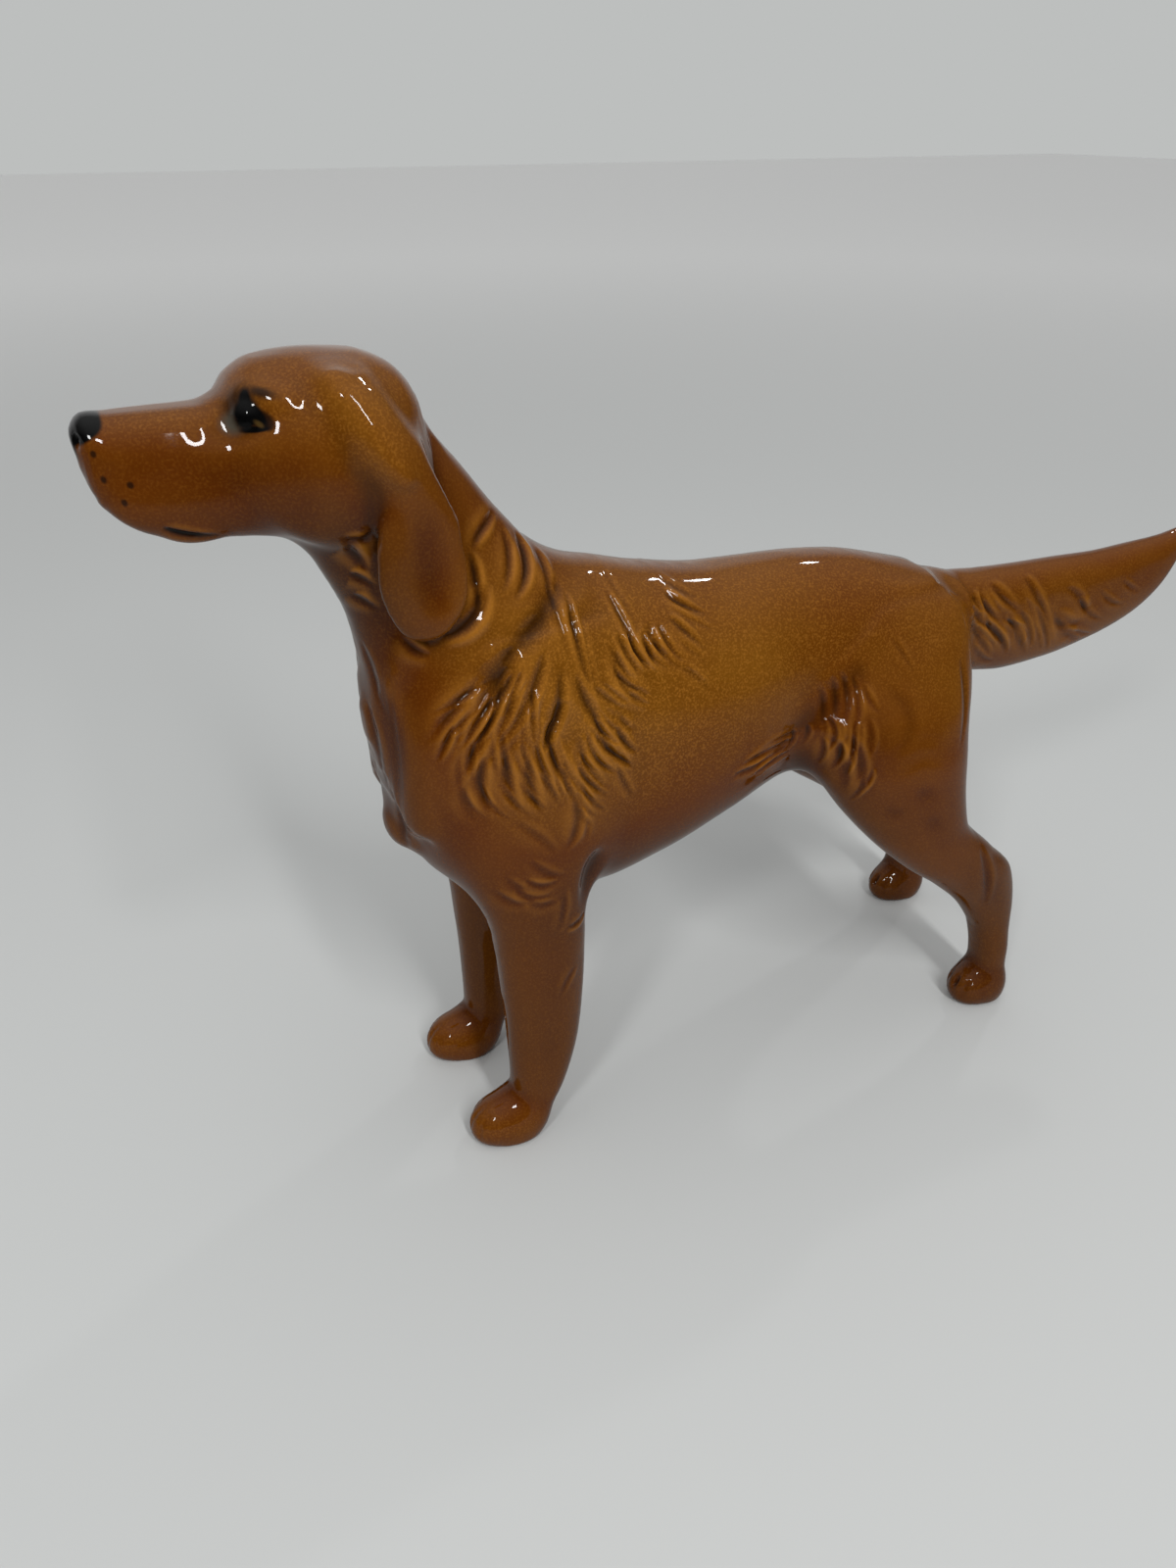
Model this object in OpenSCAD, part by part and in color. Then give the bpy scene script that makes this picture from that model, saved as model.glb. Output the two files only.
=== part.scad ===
// Standing setter figurine in glazed slip-cast porcelain.
// The figure is cast as separate sections: a hollow trunk, a hollow head with the neck, two ear leaves,
// four solid legs and a solid tail. Thin layers of slip stick the sections together before firing.
// Millimetres, +Z up, head towards -X. The origin lies on the ground, midway between nose and tail tip.

/* [Trunk] */
// Height of the withers above the ground
withers_h = 112; // [106:1:118]
// Height of the middle of the back
back_h = 103.5; // [98:0.5:109]
// Height of the underside of the chest
chest_h = 48; // [42:1:52]
// Height of the belly at the tuck-up
tuck_h = 61; // [57:1:66]
// Length from the breastbone to the rump
trunk_l = 121; // [114:1:128]
// Reach of the breastbone ahead of the forelegs
breast_reach = 16.5; // [12:0.5:20]
// Width of the chest
chest_w = 37; // [32:1:42]
// Width of the loin
loin_w = 30; // [26:1:34]
// Width across the hips
hip_w = 31; // [27:1:35]

/* [Neck and head] */
// Height of the crown above the ground
skull_h = 146; // [140:1:152]
// Reach of the nose ahead of the forelegs
nose_reach = 51.5; // [47:0.5:56]
// Length of the head from nose to occiput
head_l = 47.5; // [43:0.5:52]
// Width of the skull
skull_w = 25; // [21:0.5:29]
// Depth of the skull from crown to jaw
skull_d = 27; // [24:0.5:30]
// Drop from the crown to the bridge of the nose
stop_d = 5.5; // [4:0.5:7]
// Depth of the muzzle from bridge to lip
muzzle_d = 18.5; // [16:0.5:21]
// Width of the muzzle
muzzle_w = 14.5; // [12:0.5:17]
// Depth of the neck at its foot
neck_foot_d = 36; // [32:1:40]
// Depth of the neck under the jaw
neck_top_d = 24; // [21:1:27]
// Width of the neck
neck_w = 22; // [19:1:25]

/* [Ears] */
// Length of the ear leaf
ear_l = 37; // [32:1:40]
// Width of the ear's lobe
ear_w = 15; // [12:0.5:18]
// Thickness of the ear leaf
ear_t = 5.2; // [4:0.2:7]
// How far the lobe hangs behind the ear's root
ear_sweep = 6.5; // [4:0.5:9]

/* [Forelegs] */
// Distance between the forelegs' centre lines
fore_track = 26; // [23:0.5:29]
// Depth of the foreleg, front to back
foreleg_d = 15; // [12:0.5:18]
// Width of the foreleg
foreleg_w = 11.5; // [9.5:0.5:13]
// Length of the forepaw
fore_paw_l = 15; // [13.5:0.5:17]
// Width of the forepaw
fore_paw_w = 11.5; // [10.5:0.5:13]
// Height of the forepaw
fore_paw_h = 9.5; // [8.5:0.5:11]

/* [Hind legs] */
// Distance between the hind legs' centre lines
hind_track = 40; // [36:1:44]
// Distance from the forepaws back to the left hind paw
hind_reach = 111.5; // [106:0.5:117]
// Stagger of the right hind paw behind the left one
hind_step = 7; // [0:0.5:9]
// Height of the hock joint
hock_h = 36; // [32:1:40]
// Depth of the rear pastern
pastern_d = 7.8; // [7:0.2:9]
// Width of the rear pastern
pastern_w = 8.6; // [7.6:0.2:9.6]
// Depth of the thigh, front to back
thigh_d = 37; // [33:1:40]
// Width of the thigh
thigh_w = 21; // [18:0.5:24]
// Distance of the thigh's middle ahead of the rump
thigh_inset = 24; // [22:0.5:27]
// Length of the hind paw
hind_paw_l = 13.5; // [12:0.5:15]
// Width of the hind paw
hind_paw_w = 10.8; // [9.6:0.2:12]
// Height of the hind paw
hind_paw_h = 9; // [8:0.5:10]

/* [Tail] */
// Length of the tail behind the rump
tail_l = 63; // [56:1:70]
// Height of the tail's upper edge
tail_h = 95; // [91:1:99]
// Depth of the tail with its feathering
tail_d = 24; // [20:0.5:27]
// Thickness of the tail at its root
tail_t = 12.5; // [10:0.5:15]

/* [Casting] */
// Wall of the hollow castings
wall = 4; // [3:0.5:5]
// Thickness of a slip joint
slip_t = 0.5; // [0.3:0.1:1]
// Diameter of the vent hole under the belly
vent_d = 4; // [3:0.5:6]
// Distance of the foreleg joints below the chest
fore_joint_drop = 2; // [1:0.5:4]
// Distance of the hind-leg joints below the belly
hind_joint_drop = 7; // [5:0.5:9]

/* [Hidden] */

LEFT = -1;
RIGHT = 1;
chestnut = "#8a4a1e";
raw_slip = "#d9cdbd";

// Side counts of the rings, and rings per interval between two stations
trunk_sides = 28;
limb_sides = 22;
trunk_steps = 2;
limb_steps = 2;
// Exponent of the rings: 2 is an ellipse, more is squarer
roundness = 2.2;
// Room beyond the figure that the cutting blocks cover
reach = 2 * (trunk_l + tail_l + nose_reach);

// Places along the figure, measured from the line through the forepaws
breast_x = -breast_reach;
rump_x = trunk_l - breast_reach;
nose_x = -nose_reach;
tail_tip_x = rump_x + tail_l;
mid_x = (nose_x + tail_tip_x) / 2;
split_x = hind_reach / 2;
tail_joint_x = rump_x - tail_t / 6;

// Heights worked out from the driving sizes
bridge_h = skull_h - stop_d;
lip_h = bridge_h - muzzle_d;
jaw_h = skull_h - skull_d;
fore_joint_h = chest_h - fore_joint_drop;
hind_joint_h = tuck_h - hind_joint_drop;

function mix(low, high, share) = low + (high - low) * share;
function trunk_z(share) = mix(chest_h, withers_h, share);
function muzzle_z(share) = mix(lip_h, bridge_h, share);
function skull_z(share) = mix(jaw_h, skull_h, share);

// A station is [place, low, high, centre, half width]. The place runs along the loft, low and high are
// its edges across it, and the centre and half width are its sideways place and size.

// Trunk: places along X, edges are the underline and the topline
trunk_stations = [for (s = [
    [0.000, trunk_z(0.57), trunk_z(0.66), 0.05 * chest_w],
    [0.017, trunk_z(0.38), trunk_z(0.76), 0.22 * chest_w],
    [0.066, trunk_z(0.16), trunk_z(0.86), 0.37 * chest_w],
    [0.132, trunk_z(0.06), trunk_z(0.94), 0.45 * chest_w],
    [0.215, trunk_z(0.01), trunk_z(0.99), 0.49 * chest_w],
    [0.314, chest_h, mix(back_h, withers_h, 0.68), 0.50 * chest_w],
    [0.413, mix(chest_h, tuck_h, 0.22), mix(back_h, withers_h, 0.24), 0.50 * chest_w],
    [0.529, mix(chest_h, tuck_h, 0.62), back_h, mix(loin_w, chest_w, 0.65) / 2],
    [0.645, mix(chest_h, tuck_h, 1.00), back_h, loin_w / 2],
    [0.744, tuck_h * 1.04, back_h, loin_w / 2],
    [0.843, tuck_h * 1.08, back_h * 0.975, hip_w / 2],
    [0.926, tuck_h * 1.12, back_h * 0.93, 0.44 * hip_w],
    [0.975, tuck_h * 1.18, back_h * 0.88, 0.29 * hip_w],
    [1.000, tuck_h * 1.28, back_h * 0.80, 0.06 * hip_w]
  ]) [breast_x + trunk_l * s[0], s[1], s[2], 0, s[3]]];

// Head: places along X from the nose to the occiput, edges are the jaw and the crown
head_stations = [for (s = [
    [0.000, muzzle_z(0.66), muzzle_z(0.91), 0.12 * muzzle_w],
    [0.032, muzzle_z(0.38), muzzle_z(0.97), 0.30 * muzzle_w],
    [0.095, muzzle_z(0.20), muzzle_z(0.99), 0.43 * muzzle_w],
    [0.200, muzzle_z(0.06), bridge_h, 0.48 * muzzle_w],
    [0.326, lip_h, mix(bridge_h, skull_h, 0.08), 0.53 * muzzle_w],
    [0.390, mix(lip_h, jaw_h, 0.15), mix(bridge_h, skull_h, 0.22), 0.34 * skull_w],
    [0.442, mix(lip_h, jaw_h, 0.25), mix(bridge_h, skull_h, 0.55), 0.39 * skull_w],
    [0.516, mix(lip_h, jaw_h, 0.45), mix(bridge_h, skull_h, 0.88), 0.45 * skull_w],
    [0.642, mix(lip_h, jaw_h, 0.90), skull_h, 0.50 * skull_w],
    [0.790, jaw_h, skull_z(0.98), 0.50 * skull_w],
    [0.895, skull_z(0.05), skull_z(0.92), 0.44 * skull_w],
    [0.968, skull_z(0.22), skull_z(0.79), 0.30 * skull_w],
    [1.000, skull_z(0.42), skull_z(0.62), 0.10 * skull_w]
  ]) [nose_x + head_l * s[0], s[1], s[2], 0, s[3]]];

// Neck: places along its own axis, which runs from inside the trunk to inside the skull
neck_foot = [breast_reach / 4, trunk_z(0.69)];
neck_head = [nose_x + 0.74 * head_l, skull_z(0.45)];
neck_l = norm(neck_head - neck_foot);
neck_lean = atan2(neck_foot.x - neck_head.x, neck_head.y - neck_foot.y);
neck_stations = [
  [0, -0.55 * neck_foot_d, 0.55 * neck_foot_d, 0, 0.66 * neck_w],
  [0.29 * neck_l, -0.45 * neck_foot_d, 0.50 * neck_foot_d, 0, 0.63 * neck_w],
  [0.57 * neck_l, -0.53 * neck_top_d, 0.64 * neck_top_d, 0, 0.50 * neck_w],
  [0.85 * neck_l, -0.50 * neck_top_d, 0.55 * neck_top_d, 0, 0.46 * neck_w],
  [neck_l, -0.38 * neck_top_d, 0.38 * neck_top_d, 0, 0.41 * neck_w]
];
// The neck's joint plane crosses its axis here and rises towards the tail
neck_joint_share = 0.35;
neck_joint_tilt = 28;
neck_joint = mix(neck_foot, neck_head, neck_joint_share);

// Ear: places along Z, edges are its front and back, from the root at the skull to the lobe
ear_root = [nose_x + 0.78 * head_l, skull_z(0.88)];
function ear_stations(side) = [for (s = [
    [0.00, 0.00, 0.47, 0.72, 0.29],
    [0.11, 0.18, 0.70, 0.88, 0.46],
    [0.30, 0.42, 0.77, 0.98, 0.50],
    [0.52, 0.73, 0.90, 1.02, 0.50],
    [0.74, 0.92, 1.00, 1.06, 0.50],
    [0.90, 1.00, 0.87, 1.06, 0.48],
    [0.98, 1.00, 0.53, 1.04, 0.38],
    [1.00, 0.97, 0.17, 1.03, 0.15]
  ]) let (x = ear_root.x + ear_sweep * s[1], half = ear_w * s[2] / 2)
    [ear_root.y - ear_l * s[0], x - half, x + half, side * skull_w / 2 * s[3], ear_t * s[4]]];

// Foreleg: places along Z, edges are its front and back. Height shares run from 0 at the ground to 1 at
// the joint and on to 2 at the withers
function foreleg_z(share) =
  share < 1 ? fore_joint_h * share : mix(fore_joint_h, withers_h, share - 1);
function foreleg_stations(side) = [for (s = [
    [0.00, 0.08, 0.55, 0.40, 1.00],
    [0.26, 0.43, 0.72, 0.43, 1.00],
    [0.50, 0.52, 0.94, 0.46, 0.98],
    [0.76, 0.53, 1.06, 0.51, 0.96],
    [1.00, 0.51, 1.15, 0.58, 0.94],
    [1.17, 0.45, 1.37, 0.70, 0.90],
    [1.36, 0.50, 1.75, 0.78, 0.80],
    [1.58, 0.57, 1.95, 0.74, 0.72],
    [1.79, 0.67, 1.33, 0.52, 0.64],
    [1.88, 0.70, 0.60, 0.26, 0.60]
  ]) let (x = foreleg_d * s[1], half = foreleg_d * s[2] / 2)
    [foreleg_z(s[0]), x - half, x + half, side * fore_track / 2 * s[4], foreleg_w * s[3]]];

// Hind leg: places along Z, edges are its front and back. Height shares run from 0 at the ground to 1 at
// the hock, 2 at the joint and 3 at the back
function hind_z(share) =
  share < 1 ? hock_h * share
  : share < 2 ? mix(hock_h, hind_joint_h, share - 1)
  : mix(hind_joint_h, back_h, share - 2);
function hind_paw_x(side) = hind_reach + (side == RIGHT ? hind_step : 0);
function hind_x(side, set) = mix(hind_paw_x(side), rump_x - thigh_inset, set);
function hind_stations(side) = [for (s = [
    [0.00, 0.00, 0.80 * pastern_d, 0.45 * pastern_w, 1.00],
    [0.36, 0.00, 0.95 * pastern_d, 0.50 * pastern_w, 1.00],
    [0.56, 0.01, 1.00 * pastern_d, 0.50 * pastern_w, 0.98],
    [0.78, 0.07, 1.25 * pastern_d, 0.52 * pastern_w, 0.97],
    [0.97, 0.24, 0.44 * thigh_d, 0.26 * thigh_w, 0.95],
    [1.28, 0.47, 0.55 * thigh_d, 0.30 * thigh_w, 0.92],
    [1.78, 0.74, 0.62 * thigh_d, 0.36 * thigh_w, 0.86],
    [2.12, 0.93, 0.77 * thigh_d, 0.43 * thigh_w, 0.78],
    [2.26, 1.00, 0.90 * thigh_d, 0.48 * thigh_w, 0.70],
    [2.43, 1.02, 0.97 * thigh_d, 0.50 * thigh_w, 0.62],
    [2.63, 0.95, 0.86 * thigh_d, 0.45 * thigh_w, 0.50],
    [2.80, 0.85, 0.54 * thigh_d, 0.29 * thigh_w, 0.40]
  ]) let (x = hind_x(side, s[1]), half = s[2] / 2)
    [hind_z(s[0]), x - half, x + half, side * hind_track / 2 * s[4], s[3]]];

// Paw: places along X from toe to heel, edges are its sole and back. The sole dips below the ground,
// where it is cut flat
function paw_stations(x, y, l, w, h) = [for (s = [
    [-0.50, 0.20, 0.46, 0.20],
    [-0.41, 0.02, 0.72, 0.39],
    [-0.20, -0.04, 0.97, 0.50],
    [0.08, -0.04, 1.00, 0.49],
    [0.28, -0.02, 0.90, 0.43],
    [0.43, 0.08, 0.68, 0.30],
    [0.50, 0.22, 0.52, 0.12]
  ]) [x + l * s[0], h * s[1], h * s[2], y, w * s[3]]];

// Tail: places along X from inside the rump to the tip, edges are the feathering and the upper edge
tail_stations = [for (s = [
    [-0.16, 0.62, 0.00, 0.48],
    [-0.05, 0.84, 0.00, 0.52],
    [0.09, 0.94, 0.02, 0.48],
    [0.25, 1.00, 0.05, 0.44],
    [0.42, 0.98, 0.06, 0.40],
    [0.59, 0.91, 0.07, 0.36],
    [0.77, 0.78, 0.05, 0.30],
    [0.90, 0.57, 0.03, 0.24],
    [0.975, 0.28, -0.01, 0.16],
    [1.000, 0.10, -0.02, 0.06]
  ]) [rump_x + tail_l * s[0], tail_h - tail_d * s[1], tail_h - tail_d * s[2], 0, tail_t * s[3]]];

// Slope of column c at station i, from its neighbours
function slope(rows, i, c) =
  let (a = max(i - 1, 0), b = min(i + 1, len(rows) - 1))
  (rows[b][c] - rows[a][c]) / (rows[b][0] - rows[a][0]);

// Row between stations i and i + 1: each column is a cubic with the slopes of its two ends
function row_between(rows, i, s) =
  let (gap = rows[i + 1][0] - rows[i][0])
  [for (c = [0 : len(rows[i]) - 1])
    rows[i][c] * (1 + 2 * s) * pow(1 - s, 2) + slope(rows, i, c) * gap * s * pow(1 - s, 2)
    + rows[i + 1][c] * s * s * (3 - 2 * s) + slope(rows, i + 1, c) * gap * s * s * (s - 1)];

function smooth(rows, steps) = [
  for (i = [0 : len(rows) - 2]) for (k = [0 : steps - 1]) row_between(rows, i, k / steps),
  rows[len(rows) - 1]
];

// Rows moved out by grow all round. A shrunken row that has no size left is dropped.
function grown(rows, grow) = [
  for (r = rows)
    if (grow >= 0 || min(r[4], (r[2] - r[1]) / 2) > -1.25 * grow)
      [r[0], r[1] - grow, r[2] + grow, r[3], r[4] + grow]
];

// Signed power, which turns a circle into a squarer ring
function bulge(v) = sign(v) * pow(abs(v), 2 / roundness);

// Points of one ring, across [low, high] and the centre's half width
function ring(row, sides, upright) = [
  for (k = [0 : sides - 1])
    let (a = 360 * (k + 0.5) / sides,
      v = (row[1] + row[2]) / 2 + (row[2] - row[1]) / 2 * bulge(sin(a)),
      u = row[3] + row[4] * bulge(cos(a)))
    upright ? [v, u, row[0]] : [row[0], u, v]
];

// Solid through all rings of a list of stations, along X or, where it is upright, along Z
module loft(stations, steps, sides, upright = false, grow = 0) {
  rows = grown(smooth(stations, steps), grow);
  for (i = [0 : len(rows) - 2])
    hull() polyhedron(
      points = concat(ring(rows[i], sides, upright), ring(rows[i + 1], sides, upright)),
      faces = [[for (k = [0 : sides - 1]) k], [for (k = [0 : sides - 1]) sides + k]]);
}

module trunk(grow = 0) loft(trunk_stations, trunk_steps, trunk_sides, grow = grow);

module neck(grow = 0)
  translate([neck_foot.x, 0, neck_foot.y]) rotate([0, -neck_lean, 0])
    loft(neck_stations, trunk_steps, trunk_sides, upright = true, grow = grow);

module skull(grow = 0) loft(head_stations, trunk_steps, trunk_sides, grow = grow);

module paw(x, y, l, w, h) loft(paw_stations(x, y, l, w, h), limb_steps, limb_sides);

module foreleg_form(side) {
  loft(foreleg_stations(side), limb_steps, limb_sides, upright = true);
  paw(0, side * fore_track / 2, fore_paw_l, fore_paw_w, fore_paw_h);
}

module hind_leg_form(side) {
  loft(hind_stations(side), limb_steps, limb_sides, upright = true);
  paw(hind_paw_x(side), side * hind_track / 2, hind_paw_l, hind_paw_w, hind_paw_h);
}

module ear_form(side) loft(ear_stations(side), limb_steps, limb_sides, upright = true);

// Outer form of the figure without its ears, standing on flat soles
module figure() {
  difference() {
    union() {
      trunk();
      neck();
      skull();
      for (side = [LEFT, RIGHT]) {
        foreleg_form(side);
        hind_leg_form(side);
      }
      loft(tail_stations, limb_steps, limb_sides);
    }
    translate([-reach / 2, -reach / 2, -reach]) cube(reach);
  }
}

// Space inside the castings, open through the neck from the trunk to the head. It ends one wall short
// of the tail's joint
module hollow() {
  difference() {
    trunk(-wall);
    past_tail_joint(-wall);
  }
  neck(-wall);
  skull(-wall);
}

// Vent that lets the air out of the closed figure in the kiln
module vent()
  translate([split_x, 0, 0]) cylinder(d = vent_d, h = (tuck_h + back_h) / 2, $fn = 24);

// Everything past the neck's joint plane, or further up by shift
module past_neck_joint(shift = 0)
  translate([neck_joint.x, 0, neck_joint.y]) rotate([0, -neck_joint_tilt, 0])
    translate([-reach / 2, -reach / 2, shift]) cube(reach);

// Everything below a leg's joint plane on one side, ahead of or behind the middle of the trunk
module below_leg_joint(side, hind, shift = 0)
  translate([hind ? split_x : split_x - reach, side == LEFT ? -reach : 0,
      (hind ? hind_joint_h : fore_joint_h) - shift - reach])
    cube(reach);

// Everything behind the tail's joint plane, above the hocks
module past_tail_joint(shift = 0)
  translate([tail_joint_x + shift, -reach / 2, tuck_h]) cube(reach);

// The finished frame: the origin midway between nose and tail tip
module placed(tint) color(tint) translate([-mid_x, 0, 0]) children();

module torso_casting()
  placed(chestnut) difference() {
    figure();
    hollow();
    vent();
    past_neck_joint();
    past_tail_joint();
    for (side = [LEFT, RIGHT], hind = [false, true]) below_leg_joint(side, hind);
  }

module head_casting()
  placed(chestnut) difference() {
    intersection() {
      figure();
      past_neck_joint(slip_t);
    }
    hollow();
  }

module neck_slip_joint()
  placed(raw_slip) difference() {
    intersection() {
      figure();
      past_neck_joint();
    }
    past_neck_joint(slip_t);
    hollow();
  }

module ear(side)
  placed(chestnut) difference() {
    ear_form(side);
    skull();
    neck();
    trunk();
    foreleg_form(side);
  }

module leg(side, hind)
  placed(chestnut) intersection() {
    figure();
    below_leg_joint(side, hind, slip_t);
  }

module leg_slip_joint(side, hind)
  placed(raw_slip) difference() {
    intersection() {
      figure();
      below_leg_joint(side, hind);
    }
    below_leg_joint(side, hind, slip_t);
  }

module tail()
  placed(chestnut) intersection() {
    figure();
    past_tail_joint(slip_t);
  }

module tail_slip_joint()
  placed(raw_slip) difference() {
    intersection() {
      figure();
      past_tail_joint();
    }
    past_tail_joint(slip_t);
  }

torso_casting();
head_casting();
ear(LEFT);  // left_ear
ear(RIGHT);  // right_ear
leg(LEFT, false);  // left_foreleg
leg(RIGHT, false);  // right_foreleg
leg(LEFT, true);  // left_hind_leg
leg(RIGHT, true);  // right_hind_leg
tail();
neck_slip_joint();
leg_slip_joint(LEFT, false);  // left_foreleg_slip_joint
leg_slip_joint(RIGHT, false);  // right_foreleg_slip_joint
leg_slip_joint(LEFT, true);  // left_hind_leg_slip_joint
leg_slip_joint(RIGHT, true);  // right_hind_leg_slip_joint
tail_slip_joint();
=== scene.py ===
"""A standing setter in glazed porcelain, 146 mm to the crown: the looks of its castings.

Sizes are bench millimetres: x runs back from the line of the forepaws, y to the dog's
right, z up from the soles. Every limb is a rounded profile carried along a path, as in
the part's source. On the real piece the seams are sponged away and the glaze flows
over them in one skin, which lofts that only meet can't give. So the profiles are
worked out as distances on one lattice and melted together there, and the skin is read
off the lattice, given its hair strokes, and cut where the castings join.
"""
import logging
from collections.abc import Sequence
from dataclasses import dataclass
from enum import Enum
from typing import Protocol

import bpy
import numpy as np
from mathutils import Euler, Matrix, Vector


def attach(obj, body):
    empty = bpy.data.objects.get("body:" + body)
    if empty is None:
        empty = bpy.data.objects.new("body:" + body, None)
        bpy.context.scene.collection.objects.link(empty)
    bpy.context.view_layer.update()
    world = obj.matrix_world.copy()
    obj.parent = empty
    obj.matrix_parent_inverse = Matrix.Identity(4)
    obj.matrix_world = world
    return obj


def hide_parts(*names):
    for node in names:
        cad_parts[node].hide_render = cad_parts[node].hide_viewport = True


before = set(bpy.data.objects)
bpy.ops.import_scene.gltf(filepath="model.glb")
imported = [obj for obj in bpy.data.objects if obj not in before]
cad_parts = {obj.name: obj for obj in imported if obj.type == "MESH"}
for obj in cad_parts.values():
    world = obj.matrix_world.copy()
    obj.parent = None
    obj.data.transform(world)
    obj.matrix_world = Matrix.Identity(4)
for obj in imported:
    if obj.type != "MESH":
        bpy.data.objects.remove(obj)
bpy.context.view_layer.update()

MM = 0.001
FOREPAW_LINE = -58.0
BODY = "root"
LOG = logging.getLogger("setter")

Array = np.ndarray
Row = tuple[float, ...]


# Clay and its masses


class Side(Enum):
    """The dog's left, which the photograph's camera sees, and its right."""

    LEFT = -1
    RIGHT = 1

    @property
    def word(self) -> str:
        """The side's name as it stands in the names of pieces."""
        return self.name.lower()


class View(Enum):
    """The side of the dog on which a stroke is drawn: across and outward axes."""

    SIDE = (0, 1)
    FRONT = (1, 0)


class Run(Enum):
    """The way a loft's path runs: along the dog, or up a limb."""

    ALONG = "along"
    UP = "up"


def melt(a: Array, b: Array, blend: float | Array) -> Array:
    """Join two distances with a fillet.

    The lesser distance, lowered by a parabola of height blend / 4 where the two differ
    by less than blend.

    Args:
        a: distances to one mass.
        b: distances to the other mass.
        blend: width of the fillet in millimetres.

    Returns:
        Distances to both masses as one.
    """
    share = np.clip(0.5 + 0.5 * (b - a) / blend, 0, 1)
    return b + (a - b) * share - blend * share * (1 - share)


def pare(a: Array, b: Array, blend: float | Array) -> Array:
    """Keep what lies in both masses, with a rounded edge: melt turned inside out."""
    return -melt(-a, -b, blend)


def ease(value: Array, start: float, end: float) -> Array:
    """Smooth step from 0 at start to 1 at end: 3t^2 - 2t^3 of the share t."""
    t = np.clip((value - start) / (end - start), 0, 1)
    return t * t * (3 - 2 * t)


def faired(stations: Array, count: int = 300) -> Array:
    """Fair a loft's stations into a close table.

    Each column is a cubic Hermite curve through its stations. The slope at a station is
    the weighted harmonic mean of the slopes on both sides, or flat where they turn.

    Args:
        stations: rows of place and sizes, in order of place.
        count: rows of the table.

    Returns:
        The table, with the columns of the stations.
    """
    place, sizes = stations[:, 0], stations[:, 1:]
    gap = np.diff(place)[:, None]
    rise = np.diff(sizes, axis=0) / gap
    slope = np.zeros_like(sizes)
    near, far = 2 * gap[1:] + gap[:-1], gap[1:] + 2 * gap[:-1]
    before, after = rise[:-1], rise[1:]
    same = before * after > 0
    safe = np.where(same, 1 / np.where(same, before, 1) * near
                    + 1 / np.where(same, after, 1) * far, 1)
    slope[1:-1] = np.where(same, (near + far) / safe, 0)
    slope[0], slope[-1] = rise[0], rise[-1]
    t = np.linspace(place[0], place[-1], count)
    i = np.clip(np.searchsorted(place, t, side="right") - 1, 0, len(place) - 2)
    u, h = ((t - place[i]) / gap[i, 0])[:, None], gap[i]
    smooth = ((1 + 2 * u) * (1 - u) ** 2 * sizes[i] + u * (1 - u) ** 2 * h * slope[i]
              + u * u * (3 - 2 * u) * sizes[i + 1] + u * u * (u - 1) * h * slope[i + 1])
    return np.column_stack([t, smooth])


class Mass(Protocol):
    """A lump of clay: it knows its box and its distance from points of the lattice."""

    def box(self) -> tuple[Array, Array]:
        """Lowest and highest corner."""

    def distance(self, x: Array, y: Array, z: Array, step: float) -> Array:
        """Distance from lattice points, below zero inside."""


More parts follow.
